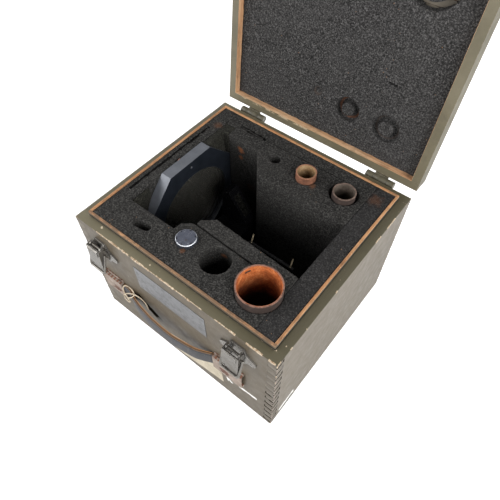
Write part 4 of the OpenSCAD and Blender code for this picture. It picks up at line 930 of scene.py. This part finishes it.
# Each look, with the pieces that have it
LOOKS = {
    boards["front"]: ("board_front",), boards["right"]: ("board_right",),
    boards["other"]: ("board_left", "board_back", "board_bottom", "lid_panel"),
    rails["x"]: ("lid_rail_front", "lid_rail_back"), rails["y"]: ("lid_rail_left", "lid_rail_right"),
    liner("bare_liner_front", "x", True): ("liner_front",), liner("bare_liner_back", "x"): ("liner_back",),
    liner("bare_liner_side", "y"): ("liner_left", "liner_right"),
    hinge_paint: ("hinge_body_leaves", "hinge_lid_leaves", "hinge_body_screws", "hinge_lid_screws"),
    nickel: ("latch_bases", "latch_pins", "latch_screws", "latch_lever_left", "latch_lever_right",
             "latch_bail_left", "latch_bail_right", "lid_keepers", "keeper_screws"),
    pin_metal: ("hinge_pins", "objective_screws"), cream_plate: ("strap_plate_left", "strap_plate_right"),
    screw_metal: ("strap_screws",),
    worn_metal("stud", (0.12, 0.10, 0.09), 0.5, stain=(0.12, 0.05, 0.03)): ("strap_stud",),
    worn_metal("label_blank", (0.215, 0.220, 0.232), 0.42, stain=(0.125, 0.12, 0.12), stained=0.5,
               metallic=0.5, edge=(0.14, 0.13, 0.12), edge_amount=0.3, painted_shade=0.3): ("label_panel",),
    torn_paper(): ("paper_patch",), anod: ("objective_mount", "objective_ring"), glass: ("objective_lens",),
    worn_metal("copper", (0.62, 0.27, 0.16), 0.4, stain=(0.2, 0.08, 0.05)): ("eyelet",),
    gloss: ("reticle_housing", "terminal_board"),
    clear_glass("window_glass", dust=0.05): ("reticle_window",),
    clear_glass("reticle_glass", (0.8, 0.84, 0.8), 0.1): ("reticle_disc",),
    clear_glass("lamp_glass", (0.9, 0.88, 0.82), 0.1): ("reticle_lamp",),
    worn_metal("brass_pin", (0.42, 0.35, 0.24), 0.5): ("terminal_pins",),
    knob_material(): ("knob_head",), **tube_looks,
}
for look, nodes in LOOKS.items():
    for node in nodes:
        give(NODES[node], look)

# Rounded arrises on the pieces that keep their CAD shape: width, and the pieces that have it
ARRIS = {0.0004: [n for n in NODES if n.startswith(("board_", "lid_rail_"))],
         0.0006: [n for n in NODES if n.startswith("liner_")],
         0.0003: ["objective_mount", "hinge_body_leaves", "hinge_lid_leaves", "strap_plate_left",
                  "strap_plate_right"],
         0.00025: ["latch_bases", "latch_lever_left", "latch_lever_right", "lid_keepers"]}
for width, nodes in ARRIS.items():
    for node in nodes:
        weld(NODES[node], 2e-6)
        bevel = NODES[node].modifiers.new("arris", "BEVEL")
        bevel.width, bevel.segments, bevel.limit_method = width, 2, "ANGLE"
        bevel.angle_limit = math.radians(35)
        bevel.harden_normals = True

# Floor, a hair below the case so that the two faces stay apart
FLOOR_Z = -0.0002
bpy.ops.mesh.primitive_plane_add(size=8, location=(0, 0, FLOOR_Z))
floor = bpy.context.object
floor.name = "floor"
paper = Mat("floor_paper")
seen = paper.n("LightPath")
plain = paper.n("BsdfDiffuse", {"Color": (0.84, 0.84, 0.84)})
glow = paper.n("Emission", {"Color": (1, 1, 1), "Strength": 0.45})
lit = paper.n("AddShader", {0: plain, 1: glow})
paper.put(paper.out.inputs["Surface"], paper.n("MixShader", {0: seen, 1: plain, 2: lit}))
give(floor, paper.m)

# The sky is bright near the horizon and dark overhead, as with soft boxes round the table
SKY = [(0.0, 1.0), (0.45, 0.82), (0.7, 0.30), (0.88, 0.10), (1.0, 0.06)]
SKY_STRENGTH = 1.55
world = bpy.data.worlds.new("studio")
bpy.context.scene.world = world
world.use_nodes = True
tree = world.node_tree
tree.nodes.clear()
coords, split, sky = [tree.nodes.new("ShaderNode" + k) for k in ("TexCoord", "SeparateXYZ", "ValToRGB")]
ground, sky_out = tree.nodes.new("ShaderNodeBackground"), tree.nodes.new("ShaderNodeOutputWorld")
for i, (at, level) in enumerate(SKY):
    element = sky.color_ramp.elements[i] if i < 2 else sky.color_ramp.elements.new(at)
    element.position, element.color = at, (level, level, level, 1)
ground.inputs["Strength"].default_value = SKY_STRENGTH
tree.links.new(coords.outputs["Generated"], split.inputs[0])
tree.links.new(split.outputs[2], sky.inputs["Fac"])
tree.links.new(sky.outputs["Color"], ground.inputs["Color"])
tree.links.new(ground.outputs[0], sky_out.inputs[0])

# Lamps: place, size and power; all of them face the middle of the case
LAMPS = {"key": ((1.5, -0.6, 1.1), 0.9, 26), "fill": ((-1.2, -1.0, 1.0), 1.2, 18),
         "rear": ((0.2, 1.2, 1.3), 1.0, 8)}
LIT_PLACE = (0, 0, 0.15)
for name, (place, size, power) in LAMPS.items():
    lamp = bpy.data.lights.new(name, "AREA")
    lamp.size, lamp.energy = size, power
    facing(new_object(name, lamp), place, LIT_PLACE)

bpy.context.scene.view_settings.view_transform = "Standard"
